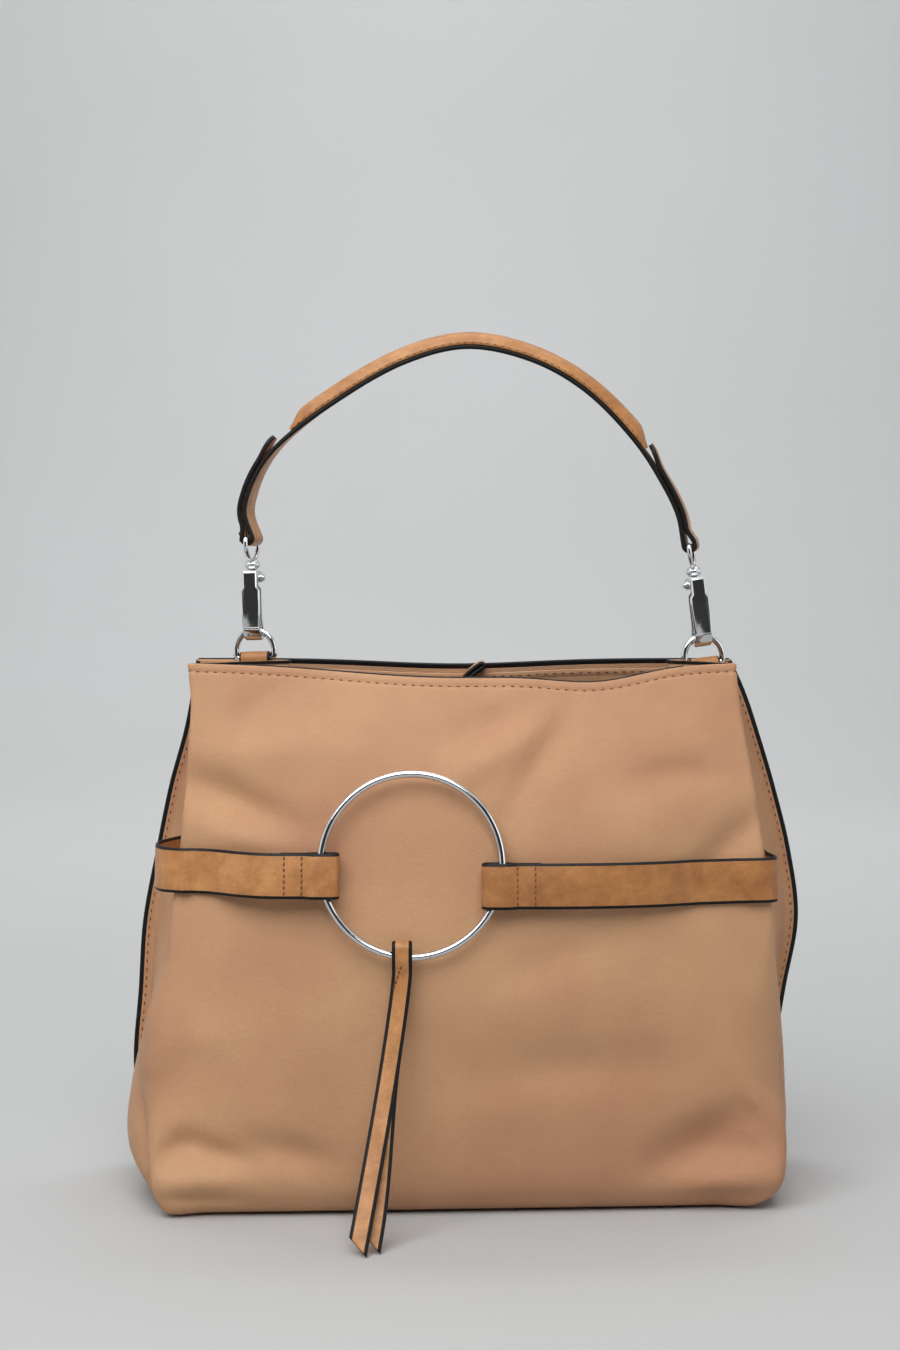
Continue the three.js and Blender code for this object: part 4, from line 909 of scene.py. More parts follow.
line, line_normals = row_line(front_points, body_ups, FRONT_RIM_STITCH)
stitch_set("front_rim_stitches", along_line(line[4:-4], line_normals[4:-4], STITCH_PITCH, 0, 0.12))
line, line_normals = row_line(back_points, body_ups, BACK_RIM_STITCH)
stitch_set("back_rim_stitches_outside", along_line(line[3:-3], line_normals[3:-3], STITCH_PITCH, 1, 0.12))
facing_line = line - line_normals * (LEATHER + FACING_GAP + FACING_THICKNESS)
stitch_set(
    "back_rim_stitches_inside",
    along_line(facing_line[10:-10], -line_normals[10:-10], STITCH_PITCH, 2, 0.1),
)


def flange_line(grid, column, inset):
    """A line up a sheet's side border, a distance in from its edge."""
    normals = grid_normals(grid)
    edge = grid[:, column]
    inwards = grid[:, 1 if column == 0 else column - 1] - edge
    inwards /= np.linalg.norm(inwards, axis=1, keepdims=True)
    return (edge + inwards * inset)[FLANGE_STITCH_ROW:], normals[FLANGE_STITCH_ROW:, column]


for name, grid, column in (
    ("left_seam_stitches_front", front_points, 0),
    ("right_seam_stitches_front", front_points, -1),
    ("right_seam_stitches_back", back_points, 0),
    ("left_seam_stitches_back", back_points, -1),
):
    line, line_normals = flange_line(grid, column, FLANGE_STITCH_INSET)
    stitch_set(name, along_line(line, line_normals, STITCH_PITCH, 2, 0.12))


# Front ring, belts and tassel

RING_AXIS = np.array((0, -math.cos(RING_LEAN), math.sin(RING_LEAN)))
RING_UP = np.array((0, math.sin(RING_LEAN), math.cos(RING_LEAN)))
X_AXIS = np.array((1.0, 0.0, 0.0))


def ring_wire_path(count=180, start=0.0, stop=360.0):
    angles = np.radians(np.linspace(start, stop, count, endpoint=stop - start < 360))
    outwards = np.cos(angles)[:, None] * X_AXIS + np.sin(angles)[:, None] * RING_UP
    return RING_CENTRE + RING_RADIUS * outwards


section, slots = round_section(20)
ring = sweep(
    "front_ring_wire", ring_wire_path(), RING_AXIS, RING_WIRE, RING_WIRE, section, [CHROME], slots,
    closed=True,
)
settle(ring, "ring", "polished_metal", "front_ring")
joint = sweep(
    "front_ring_butt_joint", ring_wire_path(3, -78.2, -77.9), RING_AXIS, RING_WIRE + 0.06, RING_WIRE + 0.06,
    section, [GUNMETAL], slots,
)
settle(joint, "ring", "polished_metal")

front_lines = {}


def front_line(z):
    key = round(z, 3)
    if key not in front_lines:
        front_lines[key] = front_row(z / BAG_HEIGHT)
    return front_lines[key]


def front_face_y(x, z):
    row = front_line(z)
    row = row[row[:, 1] < section_at(z / BAG_HEIGHT)["cornerL"][1] / 2]
    after = max(1, int(np.argmax(row[:, 0] > x)))
    a, b = row[after - 1], row[after]
    return lerp(a[1], b[1], min(max((x - a[0]) / (b[0] - a[0]), 0), 1))


def pushed_out(point, heights, gap):
    """A plan point moved out until it is a gap away from the front piece at every height."""
    moved = np.array(point, dtype=float)
    for _ in range(3):
        for z in heights:
            row = front_line(z)[:, :2]
            a, edge = row[:-1], np.diff(row, axis=0)
            length = np.maximum(np.sum(edge * edge, axis=1), 1e-9)
            share = np.clip(np.sum((moved - a) * edge, axis=1) / length, 0, 1)
            away = moved - (a + edge * share[:, None])
            distance = np.linalg.norm(away, axis=1)
            k = int(np.argmin(distance))
            normal = np.array((edge[k][1], -edge[k][0])) / math.sqrt(length[k])
            clear = math.copysign(distance[k], float(np.dot(away[k], normal)))
            if clear < gap:
                moved = moved + normal * (gap - clear)
    return moved


def ring_at_height(z, sign):
    rise = (z - RING_CENTRE[2]) / math.cos(RING_LEAN)
    return np.array((
        RING_CENTRE[0] + sign * math.sqrt(RING_RADIUS**2 - rise**2),
        RING_CENTRE[1] + rise * math.sin(RING_LEAN), z,
    ))


RING_GAP = RING_WIRE / 2 + LOOP_GAP + BELT_THICKNESS / 2
BELT_OFF_FACE = BELT_THICKNESS / 2 + CLEARANCE + 0.4
ACROSS_BELT = (-0.5, -0.25, 0, 0.25, 0.5)
LOOP_SHOULDER = 4.5
LOOP_SHOULDER_SHARE = 0.93
BELT_HEIGHTS = {"left": 191.0, "right": 185.5}
BELT_STITCH_ROWS = {"left": (10.5, 20.2), "right": (9.6, 19.4)}


def belt_path(sign, height):
    wire = ring_at_height(height, sign)
    s = section_at(height / BAG_HEIGHT)
    corner, crease, seam = (s[name + ("L" if sign < 0 else "R")] for name in ("corner", "crease", "seam"))
    back = wire[1] + (BELT_THICKNESS + CLEARANCE) / 2
    front = wire[1] - (BELT_THICKNESS + CLEARANCE) / 2
    path = [(wire[0] + sign * k, back) for k in (BELT_RETURN, 16, 9.5)]
    path.append((wire[0] + sign * LOOP_SHOULDER, wire[1] + RING_GAP * LOOP_SHOULDER_SHARE))
    nose = wire[0] - sign * (BELT_NOSE - RING_GAP - BELT_THICKNESS / 2)
    for k in range(9):
        angle = math.pi * k / 8
        path.append((nose - sign * RING_GAP * math.sin(angle), wire[1] + RING_GAP * math.cos(angle)))
    path.append((wire[0] + sign * LOOP_SHOULDER, wire[1] - RING_GAP * LOOP_SHOULDER_SHARE))
    path += [(wire[0] + sign * k, front) for k in (9.5, 16, BELT_RETURN)]
    start = wire[0] + sign * BELT_RETURN
    turn = corner[0] + sign * BELT_TURN[sign]
    heights = [height + w * BELT_WIDTH for w in ACROSS_BELT]

    def clear_of_face(x):
        return min(
            front_face_y(x, height + w * BELT_WIDTH) - w * BELT_WIDTH * math.tan(RING_LEAN)
            for w in ACROSS_BELT
        ) - BELT_OFF_FACE

    for k in range(1, 11):
        share = k / 11
        x = lerp(start, turn - sign * CORNER_RADIUS, share)
        eased = lerp(front, clear_of_face(x), float(smoothstep(share, 0, 0.8)))
        path.append((x, min(eased, clear_of_face(x))))
    turn_y = corner[1] + CORNER_RADIUS * 0.2
    end = crease + (seam - crease) * 0.4
    route = curve_through([
        (turn - sign * CORNER_RADIUS, clear_of_face(turn - sign * CORNER_RADIUS), 0),
        (turn + sign * 2, turn_y, 0),
        (turn + sign * BELT_BULGE[sign], turn_y + 24, 0),
        (*end, 0),
    ], 14)
    path += [tuple(pushed_out(point[:2], heights, BELT_OFF_FACE)) for point in route]
    return np.array([(x, y, height) for x, y in path]), wire, front


def belt(side, height):
    sign = SIDES[side]["sign"]
    path, wire, front = belt_path(sign, height)
    path = curve_through(path, 220)
    section, slots = strap_section(BELT_WIDTH, BELT_THICKNESS)
    # The right belt gets the darker copy of the tan leather: painted shade, not a different dye.
    leather = TAN_SHADED if sign > 0 else TAN
    piece = sweep(
        f"belt_{side}_leather", path, RING_UP, BELT_WIDTH, BELT_THICKNESS, section, [leather, PAINT], slots,
    )
    settle(piece, "bag", "tan_leather", f"belt_{side}")
    spots = []
    for reach in BELT_STITCH_ROWS[side]:
        for k in range(-3, 4):
            centre = np.array((wire[0] + sign * reach, front, height)) + RING_UP * (k * 3.2)
            centre = centre + RING_AXIS * (BELT_THICKNESS * 0.52)
            spots.append((centre, RING_UP + X_AXIS * 0.12, RING_AXIS))
    stitch_set(f"belt_{side}_stitches", spots, half=(1.2, 0.5, 0.36))


for side, height in BELT_HEIGHTS.items():
    belt(side, height)


def tassel_path():
    rise = -math.sqrt(RING_RADIUS**2 - TASSEL_OFFSET**2)
    wire = np.array(RING_CENTRE) + X_AXIS * TASSEL_OFFSET + RING_UP * rise
    loop = RING_WIRE / 2 + LOOP_GAP + TASSEL_THICKNESS / 2
    leaf = (TASSEL_THICKNESS + CLEARANCE) / 2
    neck, floor = wire[2] - TASSEL_NOSE, TASSEL_THICKNESS / 2 + CLEARANCE + TASSEL_CUT_RISE

    def tail(side):
        points = []
        for t in np.linspace(0, 1, 19):
            parting = TASSEL_SPLIT * float(smoothstep(t, 0.3, 1)) if side > 0 else 0
            points.append((
                wire[0] - TASSEL_DRIFT * t**1.2 + 2 * parting,
                wire[1] + side * leaf - TASSEL_REACH * t**1.5 + parting,
                lerp(neck, floor, t),
            ))
        return points

    def shoulder(side):
        return [
            (wire[0], wire[1] + side * loop, wire[2] - 1),
            (wire[0], wire[1] + side * loop * 0.75, wire[2] - 4.5),
        ]

    top = wire[2] + TASSEL_NOSE - loop - 1
    nose = [
        (wire[0], wire[1] + loop * math.cos(a), top + loop * math.sin(a))
        for a in np.linspace(0, math.pi, 9)
    ]
    return [*tail(1)[::-1], *shoulder(1)[::-1], *nose, *shoulder(-1), *tail(-1)]


TIP_SLANT = 0.8
TIP_REACH = 9
tassel_line = curve_through(tassel_path(), 300)
tip_share = np.linspace(0, path_length(tassel_line), 300)
slant = TIP_SLANT * smoothstep(tip_share, tip_share[-1] - TIP_REACH, tip_share[-1])
slant -= TIP_SLANT * (1 - smoothstep(tip_share, 0, TIP_REACH))
section, slots = strap_section(TASSEL_WIDTH, TASSEL_THICKNESS, 1.9)
tassel = sweep(
    "tassel_strip", tassel_line, X_AXIS, TASSEL_WIDTH, TASSEL_THICKNESS, section, [TAN, PAINT], slots,
    slant=slant,
)
settle(tassel, "bag", "tan_leather", "tassel")
front_tail = tassel_line[len(tassel_line) // 2:]
tacks = []
for share in np.linspace(0, 1, 5):
    height = lerp(142.5, 131.5, share)
    centre = front_tail[int(np.argmin(np.abs(front_tail[:, 2] - height)))]
    centre = np.array((lerp(-34.0, -37.6, share), centre[1] - TASSEL_THICKNESS * 0.53, height))
    tacks.append((centre, X_AXIS * 0.5 + RING_UP, RING_AXIS))
stitch_set("tassel_tack_stitches", tacks, half=(1.3, 0.55, 0.45))


# Tabs, D-rings, snap hooks and swivel eyes

ARCH_TOP = D_LEG + (D_INSIDE + D_WIRE) / 2
BARS = {"left": (-121.80, 14.114, 307.0), "right": (142.80, 17.025, 303.4)}
# back, up, wide of the fixed hook's curl, from the foot of its front plate round under the D-ring
HOOK_LINE = (
    (-5.7, -1.9, 10), (-2.4, -4.3, 10), (0.2, -4.7, 10), (2.9, -3.8, 10), (4.7, -0.9, 9.4), (5, 2.6, 8.8),
    (4.8, 7, 8),
)
GATE_LINE = ((2.4, 29.8), (2.9, 24), (2.8, 14), (2.5, 4.4))
HOOK_BAND = 2.2
NECK_TOP = 35.0
NECK_FRONT = -8.4
PLATE_FOOT = 1.2
# across, up of half the front plate's outline
PLATE_OUTLINE = ((4.3, 34.9), (4.3, 25.6), (5.8, 23.4), (5.7, 15.0), (5.1, 1.2))
GATE_WIDTH = 5.4
GATE_BAND = 1.8
BARREL_RADIUS = 2.2
EAR_RADIUS = 2.9
PIVOT = (2.2, 31.0)
BALL_RADIUS = 4.45
BALL_HEIGHT = 6.5
BALL_MIDDLE = 38.55


def rotation(axis, degrees):
    return np.array(Matrix.Rotation(math.radians(degrees), 3, axis))


def placed(points, turn, origin):
    return np.asarray(points, dtype=float) @ turn.T + np.asarray(origin)


def plate(name, outline, x0, x1, turn, origin, material, bevel=0.25):
    """A flat plate with a (back, up) outline between two places across."""
    n = len(outline)
    points = [(x0, y, z) for y, z in outline] + [(x1, y, z) for y, z in outline]
    faces = [tuple(range(n))[::-1], tuple(range(n, 2 * n))]
    faces += [(k, (k + 1) % n, n + (k + 1) % n, n + k) for k in range(n)]
    return rounded(new_object(name, placed(points, turn, origin), faces, [material]), bevel)


def disc(y, z, radius, sides=28, start=0.0, stop=360.0):
    angles = np.radians(np.linspace(start, stop, sides, endpoint=stop - start < 360))
    return [(y + radius * math.cos(a), z + radius * math.sin(a)) for a in angles]


def knurled_ball(name, turn, origin):
    """A flattened ball with fine upright ridges."""
    rings, sides = 28, 112
    points, faces = [], []
    for i in range(rings + 1):
        polar = math.pi * i / rings
        for j in range(sides):
            around = 2 * math.pi * j / sides
            ridge = 0.17 * (0.5 - 0.5 * math.cos(28 * around))
            ridge *= float(smoothstep(math.sin(polar), 0.55, 0.85))
            radius = (BALL_RADIUS - ridge) * math.sin(polar) ** 0.8
            points.append((
                radius * math.cos(around), radius * math.sin(around),
                BALL_MIDDLE + BALL_HEIGHT / 2 * math.cos(polar),
            ))
    for i in range(rings):
        for j in range(sides):
            k = (j + 1) % sides
            faces.append((i * sides + j, (i + 1) * sides + j, (i + 1) * sides + k, i * sides + k))
    return new_object(name, placed(points, turn, origin), faces, [CHROME])


def d_ring_path():
    half = D_INSIDE / 2 + D_WIRE / 2
    flat = half - D_CORNER
    points = [(x, 0, 0) for x in np.linspace(-flat, flat, 12)]
    for angle in np.radians(np.linspace(-90, 0, 8)[1:]):
        points.append((flat + D_CORNER * math.cos(angle), 0, D_CORNER + D_CORNER * math.sin(angle)))
    for angle in np.radians(np.linspace(0, 180, 48)):
        points.append((half * math.cos(angle), 0, D_LEG + half * math.sin(angle)))
    for angle in np.radians(np.linspace(180, 270, 8)[:-1]):
        points.append((-flat + D_CORNER * math.cos(angle), 0, D_CORNER + D_CORNER * math.sin(angle)))
    return resample(np.array(points + points[:1]), 121)[:-1]


def tab_path(set_back):
    leaf = (TAB_THICKNESS + CLEARANCE) / 2
    loop = D_WIRE / 2 + CLEARANCE + TAB_THICKNESS / 2
    side = [(leaf + set_back, -TAB_DROP), (leaf + set_back, -9), (loop * 0.85, -4.5), (loop, -1)]
    arc = [(loop * math.cos(a), loop * math.sin(a)) for a in np.linspace(0, math.pi, 9)]
    back = [(-loop, -1), (-loop * 0.75, -4.5), (set_back - leaf, -9), (set_back - leaf, -TAB_DROP)]
    return np.array([(0, y, z) for y, z in side + arc + back])


def hook_plate(name, turn, origin):
    """The flat front plate; its wide bevel makes face and rim catch the light apart."""
    outline = np.array([*PLATE_OUTLINE, *((-x, z) for x, z in PLATE_OUTLINE[::-1])])
    ahead, behind = np.roll(outline, -1, axis=0) - outline, outline - np.roll(outline, 1, axis=0)
    normals = []
    for a, b in zip(ahead, behind):
        na = np.array((-a[1], a[0])) / np.linalg.norm(a)
        nb = np.array((-b[1], b[0])) / np.linalg.norm(b)
        normals.append((na + nb) / (1 + float(np.dot(na, nb))))
    normals = np.array(normals)
    if float(np.sum(normals[0] * (outline.mean(axis=0) - outline[0]))) < 0:
        normals = -normals
    layers = [(0.35, -6.3), (0.0, -6.6), (0.0, -7.5), (0.85, -8.45), (1.0, -8.5)]
    points = [(x, back, z) for inset, back in layers for x, z in outline + normals * inset]
    count = len(outline)
    faces = [tuple(range(count)), tuple(range((len(layers) - 1) * count, len(layers) * count))[::-1]]
    for k in range(len(layers) - 1):
        for i in range(count):
            j = (i + 1) % count
            faces.append((k * count + i, (k + 1) * count + i, (k + 1) * count + j, k * count + j))
    return rounded(new_object(name, placed(points, turn, origin), faces, [CHROME]), 0.12, 20, 2)


def fittings(side):
    facts = SIDES[side]
    turn = rotation("Z", facts["turn"]) @ rotation("Y", facts["lean"])
    bar = np.array(BARS[side])
    hook_origin = bar + turn @ np.array((0, 0, ARCH_TOP))
    x_axis, y_axis = turn @ X_AXIS, turn @ np.array((0, 1.0, 0))

    section, slots = strap_section(TAB_WIDTH, TAB_THICKNESS, 1.2)
    piece = sweep(
        f"tab_{side}_leather", curve_through(placed(tab_path(facts["set_back"]), turn, bar), 90), x_axis,
        TAB_WIDTH, TAB_THICKNESS, section, [TAN, PAINT], slots,
    )
    settle(piece, "bag", "tan_leather", f"tab_{side}")

    section, slots = round_section(20)
    piece = sweep(
        f"d_ring_{side}_wire", placed(d_ring_path(), turn, bar), y_axis, D_WIRE, D_WIRE, section, [CHROME],
        slots, closed=True,
    )
    settle(piece, "bag", "polished_metal", f"d_ring_{side}")

    # Fixed hook: a bevelled band, with a neck block, two ears and a pin
    settle(hook_plate(f"hook_{side}_plate", turn, hook_origin), "bag", "polished_metal", f"hook_{side}")
    line = curve_through([(-7.2, PLATE_FOOT + 0.8, 10), (-7.1, PLATE_FOOT - 0.4, 10), *HOOK_LINE], 80)
    path = placed(np.stack((np.zeros(len(line)), line[:, 0], line[:, 1]), axis=1), turn, hook_origin)
    curl_section = [
        (-0.46, -0.5), (0.46, -0.5), (0.5, -0.3), (0.5, 0.3),
        (0.46, 0.5), (-0.46, 0.5), (-0.5, 0.3), (-0.5, -0.3),
    ]
    piece = sweep(
        f"hook_{side}_curl", path, x_axis, line[:, 2], HOOK_BAND, curl_section, [CHROME], [0] * 8,
    )
    settle(rounded(piece, 0.22, 25, 2), "bag", "polished_metal")
    cap = [
        (NECK_FRONT + 0.4, NECK_TOP - 1.3), (2.8, NECK_TOP - 1.3),
        (2.8, NECK_TOP), (NECK_FRONT + 0.4, NECK_TOP),
    ]
    neck = plate(f"hook_{side}_neck", cap, -4.2, 4.2, turn, hook_origin, CHROME, 0.4)
    settle(neck, "bag", "polished_metal")
    ear = [(-6.6, 34.6), (-6.6, 31.6), (-2.4, 30.4), *disc(*PIVOT, EAR_RADIUS, 20, 190, 390), (4.4, 34.6)]
    for word, low, high in (("outer", 3.0, 4.7), ("inner", -4.7, -3.0)):
        settle(
            plate(f"hook_{side}_ear_{word}", ear, low, high, turn, hook_origin, CHROME, 0.45),
            "bag", "polished_metal",
        )
    for word, radius, end in (("pin", 1.7, 6.8), ("collar", 2.7, 5.7)):
        for sign in (-1, 1):
            low, high = sorted((sign * 4.6, sign * end))
            outline = disc(*PIVOT, radius, 28)
            name = f"hook_{side}_{word}_{'outer' if sign > 0 else 'inner'}"
            settle(plate(name, outline, low, high, turn, hook_origin, CHROME, 0.4), "bag", "polished_metal")

    # Spring gate
    line = curve_through([(0, y, z) for y, z in GATE_LINE], 30)
    section = [
        (-0.5, -0.3), (-0.4, -0.5), (0.4, -0.5), (0.5, -0.3),
        (0.5, 0.3), (0.4, 0.5), (-0.4, 0.5), (-0.5, 0.3),
    ]
    widths = GATE_WIDTH + 3.2 * (1 - smoothstep(line[:, 2], 24, 26.5))
    lever = sweep(
        f"gate_{side}_lever", placed(line, turn, hook_origin), x_axis, widths, GATE_BAND, section, [CHROME],
        [0] * 8,
    )
    settle(rounded(lever, 0.18, 25, 2), f"{side}_gate", "polished_metal", f"gate_{side}")
    barrel = plate(
        f"gate_{side}_barrel", disc(*PIVOT, BARREL_RADIUS, 32), -GATE_WIDTH / 2, GATE_WIDTH / 2, turn,
        hook_origin, CHROME, 0.3,
    )
    settle(barrel, f"{side}_gate", "polished_metal")

    # Swivel eye
    swivel = turn @ rotation("Z", facts["eye_turn"])
    half = EYE_LENGTH / 2
    corners = [
        (-half + 1.9, 0), (0, 0), (half - 1.9, 0), (half - 0.55, -0.55), (half, -1.9), (half, -6),
        (4, -EYE_DROP), (-4, -EYE_DROP), (-half, -6), (-half, -1.9), (-half + 0.55, -0.55),
    ]
    loop_path = curve_through([(0, y, EYE_HEIGHT + z) for y, z in corners + corners[:1]], 141)[:-1]
    section, slots = round_section(18)
    piece = sweep(
        f"eye_{side}_loop", placed(loop_path, swivel, hook_origin), swivel @ X_AXIS, EYE_WIRE, EYE_WIRE,
        section, [CHROME], slots, closed=True,
    )
    settle(piece, "bag", "polished_metal", f"eye_{side}")
    settle(knurled_ball(f"eye_{side}_ball", swivel, hook_origin), "bag", "polished_metal")
    return hook_origin + swivel @ np.array((0, 0, EYE_HEIGHT)), swivel @ np.array((0, 1.0, 0))


left_eye, left_bar = fittings("left")
right_eye, right_bar = fittings("right")


# Handle

WRAP_RADIUS = EYE_WIRE / 2 + WRAP_GAP + STRAP_THICKNESS / 2


def level_across(bar):
    """The level direction square to an eye's bar, towards +X."""
    across = np.cross(bar, (0, 0, 1))
    return across / np.linalg.norm(across)


left_across, right_across = level_across(left_bar), level_across(right_bar)
handle_points = [left_eye + left_across * WRAP_RADIUS]
handle_points += [
    lerp(left_eye, right_eye, along) + np.array((0, 0, over * HANDLE_RISE)) for along, over in HANDLE_LINE
]
handle_points.append(right_eye - right_across * WRAP_RADIUS)
handle_line = curve_through(handle_points, 1200)
handle_along = np.gradient(handle_line, axis=0)
handle_along /= np.linalg.norm(handle_along, axis=1, keepdims=True)
handle_shares = np.linspace(0, 1, len(handle_line))
handle_length = path_length(handle_line)


def handle_side(share):
    share = np.atleast_1d(share)[:, None]
    side = lerp(np.array((0, 1.0, GRIP_TILT)), left_bar, smoothstep(1 - share, 0.72, 1))
    side = lerp(side, right_bar, smoothstep(share, 0.55, 1))
    return side / np.linalg.norm(side, axis=1, keepdims=True)


def handle_at(share, outwards):
    share = np.atleast_1d(share)
    point, along = (
        np.stack([np.interp(share, handle_shares, line[:, k]) for k in range(3)], axis=1)
        for line in (handle_line, handle_along)
    )
    out = np.cross(along, handle_side(share))
    out /= np.linalg.norm(out, axis=1, keepdims=True)
    return point + out * np.broadcast_to(outwards, share.shape)[:, None]


def handle_strap():
    lengths = np.linspace(FLAP_LENGTH, 1.5, 46)
    near = smoothstep(lengths, 0, 10)
    lift = FLAP_LIFT * smoothstep(lengths, FLAP_LENGTH - 16, FLAP_LENGTH)
    away = lerp(2 * WRAP_RADIUS, STRAP_THICKNESS + CLEARANCE, near) + lift
    corner = np.clip(lengths - (FLAP_LENGTH - 7), 0, 7)
    flap_width = STRAP_WIDTH - 2 * (7 - np.sqrt(49 - corner**2))
    angles = np.linspace(math.pi, 2 * math.pi, 15)[:, None]
    left_arc, right_arc = (
        WRAP_RADIUS * (np.cos(angles) * across + np.sin(angles) * np.cross(across, bar))
        for across, bar in ((left_across, left_bar), (right_across, right_bar))
    )
    inner = np.linspace(0, 1, 202)[1:-1]
    path = np.concatenate((
        handle_at(lengths / handle_length, away), left_eye + left_arc, handle_at(inner, 0),
        right_eye + right_arc, handle_at(1 - lengths[::-1] / handle_length, away[::-1]),
    ))
    shares = np.concatenate((
        lengths / handle_length, np.zeros(15), inner, np.ones(15), 1 - lengths[::-1] / handle_length,
    ))
    widths = np.concatenate((flap_width, np.full(15 + 200 + 15, STRAP_WIDTH), flap_width[::-1]))
    section, slots = strap_section(STRAP_WIDTH, STRAP_THICKNESS, 1.3)
    piece = sweep(
        "handle_strap_leather", path, handle_side(shares), widths, STRAP_THICKNESS, section, [TAN, PAINT],
        slots,
    )
    settle(piece, "bag", "tan_leather", "handle_strap")


def handle_pad():
    shares = lerp(PAD_START, PAD_END, 0.5 - 0.5 * np.cos(np.linspace(0, math.pi, 170)))
    reach = np.minimum(shares - PAD_START, PAD_END - shares) * handle_length
    fade = smoothstep(reach, -2, PAD_EDGE)
    path = handle_at(shares, STRAP_THICKNESS / 2 + PAD_GAP)
    section = [(0.49, 0.0), (0.5, 0.06), (0.5, 0.2), (0.49, 0.27)]
    for angle in np.radians(np.linspace(8, 172, 27)):
        section.append((0.465 * math.cos(angle), 0.2 + 0.8 * math.sin(angle) ** 0.9))
    section += [(-0.49, 0.27), (-0.5, 0.2), (-0.5, 0.06), (-0.49, 0.0)]
    slots = [0] * len(section)
    width = STRAP_WIDTH * (0.8 + 0.2 * fade)
    height = PAD_HEIGHT * (0.25 + 0.75 * fade)
    piece = sweep(
        "handle_pad_leather", path, handle_side(shares), width, height, section, [TAN, PAINT], slots,
    )
    settle(piece, "bag", "tan_leather", "handle_pad")
    spots = []
    sides = handle_side(shares)
    out = handle_at(shares, 1.0) - handle_at(shares, 0.0)
    for sign in (-1, 1):
        line = path + sides * (sign * 0.497 * width)[:, None] + out * (0.17 * height)[:, None]
        normals = sides * sign + out * 0.1
        spots += along_line(line[6:-6], normals[6:-6], 4.4, 0, 0.1)
    stitch_set("handle_pad_stitches", spots, half=(0.9, 0.3, 0.25))


handle_strap()
handle_pad()


# Closure tab inside the mouth

CLOSURE_LINE = ((-9, 283), (-1, 292), (6, 299), (11, 302.6))
CLOSURE_WIDTH = 19
CLOSURE_THICKNESS = 2.4
CLOSURE_MIDDLE = float((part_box("closure_tab")[0][1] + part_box("closure_tab")[1][1]) * 500)


def closure_tab():
    leaf = (CLOSURE_THICKNESS + CLEARANCE) / 2
    middle = np.array([(x, 0, z) for x, z in CLOSURE_LINE], dtype=float)
    along = np.gradient(middle, axis=0)
    along /= np.linalg.norm(along, axis=1, keepdims=True)
    aside = np.stack((-along[:, 2], 0 * along[:, 0], along[:, 0]), axis=1)
    tip = []
    for angle in np.linspace(-math.pi / 2, math.pi / 2, 7):
        ahead, over = along[-1] * leaf * 1.4 * math.cos(angle), aside[-1] * leaf * math.sin(angle)
        tip.append(middle[-1] + ahead + over)
    path = [*(middle - aside * leaf)[:-1], *tip, *(middle + aside * leaf)[:-1][::-1]]
    path = curve_through(path, 70) + np.array((0, CLOSURE_MIDDLE, 0))
    section, slots = strap_section(CLOSURE_WIDTH, CLOSURE_THICKNESS, 0.9)
    piece = sweep(
        "closure_tab_leather", path, (0, 1, 0), CLOSURE_WIDTH, CLOSURE_THICKNESS, section, [TAN, PAINT],
        slots,
    )
    settle(piece, "bag", "tan_leather", "closure_tab")


closure_tab()


# Floor, light and camera

SKY_COLOUR = (0.98, 0.99, 1.0)
SKY_LEVEL = 0.56
# metres: the sweep's front edge, the start and radius of its bend, its wall, the wall's top, half its width
SWEEP_FRONT, BEND_START, BEND_RADIUS, WALL, WALL_TOP, SWEEP_HALF = -1.8, 2.2, 1.6, 3.8, 6.0, 2.6


def backdrop():
    """A floor that curves up into a wall, and takes on the sky's tone far from the object."""
    profile = [(SWEEP_FRONT, 0.0), (BEND_START, 0.0)]
    for angle in np.radians(np.linspace(-90, 0, 24)[1:]):
        along, up = BEND_RADIUS * math.cos(angle), BEND_RADIUS * math.sin(angle)
        profile.append((BEND_START + along, BEND_RADIUS + up))
    profile.append((WALL, WALL_TOP))
    points = [(x * 1000, y * 1000, z * 1000) for y, z in profile for x in (-SWEEP_HALF, SWEEP_HALF)]
    faces = [(2 * k, 2 * k + 1, 2 * k + 3, 2 * k + 2) for k in range(len(profile) - 1)]
    s = Shader("pale_paper")
    tone = s.span(s.noise(1.5, 2), 0.3, 0.7)
    split = s.add("ShaderNodeSeparateXYZ")
    s.link(s.place, split.inputs["Vector"])
    across, ahead = split.outputs[0], split.outputs[1]
    far = s.math("MAXIMUM", s.span(s.math("ABSOLUTE", across, 0.0), 1.4, 2.5), s.span(ahead, -0.9, -1.7))
    paper = s.mix(tone, linear(190, 191, 192), linear(187, 189, 189))
    s.set(Base_Color=s.mix(far, paper, (0.0, 0.0, 0.0)), Roughness=0.9)
    s.set(Emission_Color=SKY_COLOUR, Emission_Strength=s.math("MULTIPLY", far, SKY_LEVEL))
    return new_object("backdrop", points, faces, [s.material])


backdrop()


def area_light(name, place, aim, size, power):
    light = bpy.data.lights.new(name, "AREA")
    light.shape = "RECTANGLE"
    light.size, light.size_y = size
    light.energy = power
    lamp = bpy.data.objects.new(name, light)
    bpy.context.collection.objects.link(lamp)
    lamp.location = place
    lamp.rotation_euler = (Vector(aim) - Vector(place)).to_track_quat("-Z", "Y").to_euler()


area_light("key_left", (-0.4, -1.4, 1.8), (0, 0, 0.2), (2.3, 1.6), 50)
area_light("fill_right", (1.9, -1.2, 1.0), (0, 0, 0.2), (0.8, 1.2), 4)
area_light("top", (0, 0.0, 2.5), (0, 0, 0), (2.2, 1.8), 8)
area_light("back_wall", (0, 1.2, 3.0), (0, 3.6, 1.2), (3.0, 1.5), 80)
area_light("back_low", (-0.3, 1.6, 1.9), (-0.2, 3.6, 0.8), (1.8, 0.8), 10)


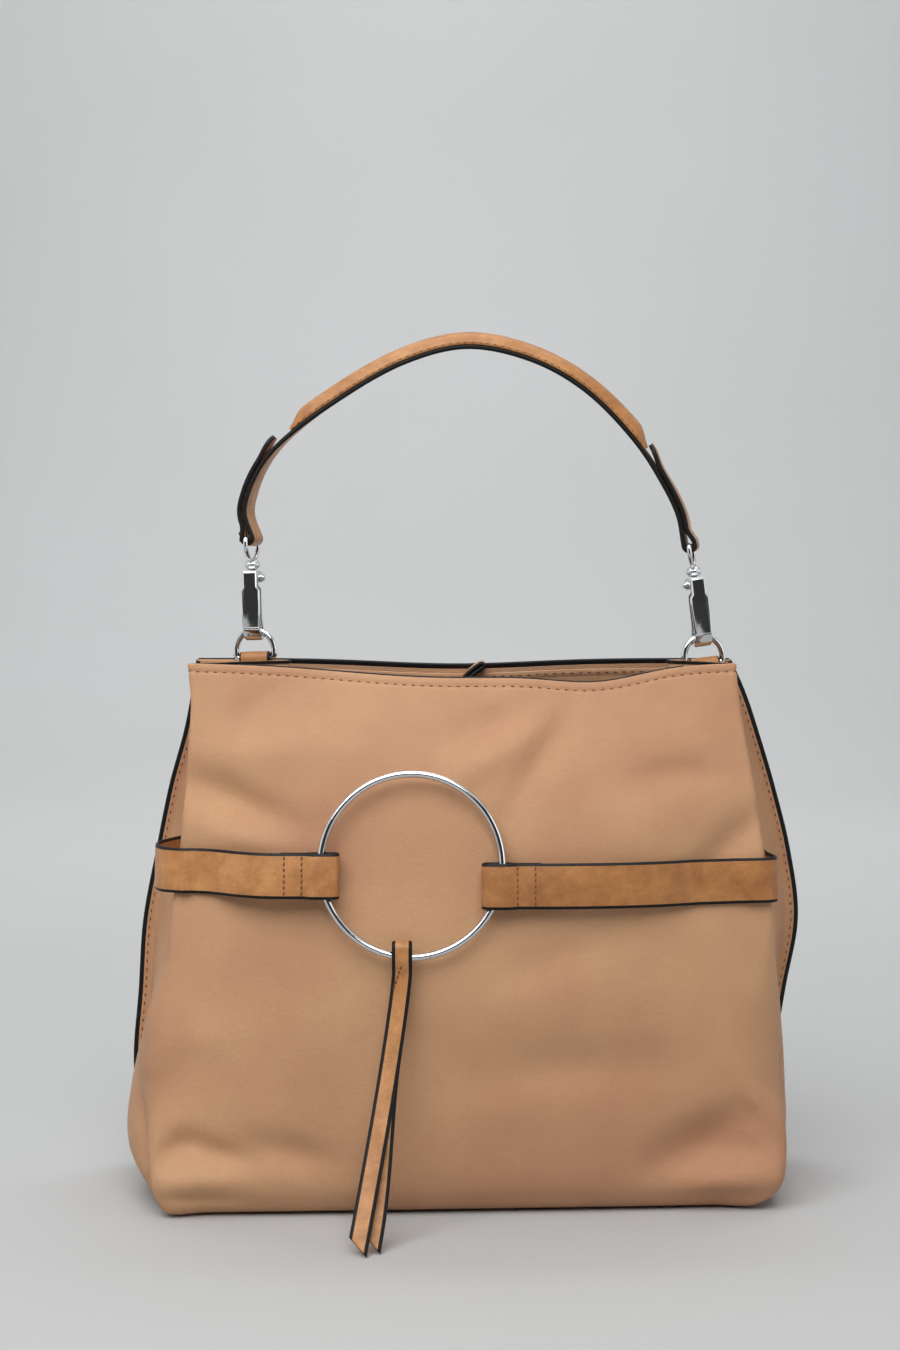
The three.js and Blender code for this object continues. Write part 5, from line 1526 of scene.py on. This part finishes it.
def studio_world():
    """Soft light from all round, darker in front; gloss sees bright panels at the sides and above."""
    world = bpy.data.worlds.new("studio")
    bpy.context.scene.world = world
    world.use_nodes = True
    tree = world.node_tree
    split = tree.nodes.new("ShaderNodeSeparateXYZ")
    tree.links.new(tree.nodes.new("ShaderNodeTexCoord").outputs["Generated"], split.inputs["Vector"])

    def calc(operation, a, b=0.0):
        node = tree.nodes.new("ShaderNodeMath")
        node.operation = operation
        for socket, value in zip(node.inputs, (a, b)):
            if isinstance(value, (int, float)):
                socket.default_value = value
            else:
                tree.links.new(value, socket)
        return node.outputs["Value"]

    def ramp(value, low, high, to_low, to_high):
        node = tree.nodes.new("ShaderNodeMapRange")
        node.interpolation_type = "SMOOTHSTEP"
        for socket, number in zip(list(node.inputs)[1:5], (low, high, to_low, to_high)):
            socket.default_value = number
        tree.links.new(value, node.inputs["Value"])
        return node.outputs["Result"]

    x, y, z = split.outputs
    soft = ramp(y, -0.5, 0.7, 0.05, 0.42)
    panels = calc("MAXIMUM", ramp(calc("ABSOLUTE", x), 0.6, 0.85, 0.0, 1.0), ramp(z, 0.45, 0.7, 0.0, 0.8))
    gloss = calc("MAXIMUM", panels, ramp(y, -0.5, 0.3, 0.045, 0.5))
    rays = tree.nodes.new("ShaderNodeLightPath").outputs
    seen = calc("ADD", soft, calc("MULTIPLY", rays["Is Glossy Ray"], calc("SUBTRACT", gloss, soft)))
    seen = calc("ADD", seen, calc("MULTIPLY", rays["Is Camera Ray"], calc("SUBTRACT", SKY_LEVEL, seen)))
    background = tree.nodes["Background"].inputs
    tree.links.new(seen, background["Strength"])
    background["Color"].default_value = (*SKY_COLOUR, 1.0)


studio_world()

camera_data = bpy.data.cameras.new("camera")
camera_data.sensor_width = 36.0
camera_data.lens = 59.52
camera_data.clip_end = 50
camera = bpy.data.objects.new("camera", camera_data)
bpy.context.collection.objects.link(camera)
camera.location = (-0.0072, -1.3, 0.359)
camera.rotation_euler = (math.radians(90), 0, 0)
camera_data.shift_y = -105 / 1350
bpy.context.scene.camera = camera
bpy.context.scene.view_settings.view_transform = "Standard"
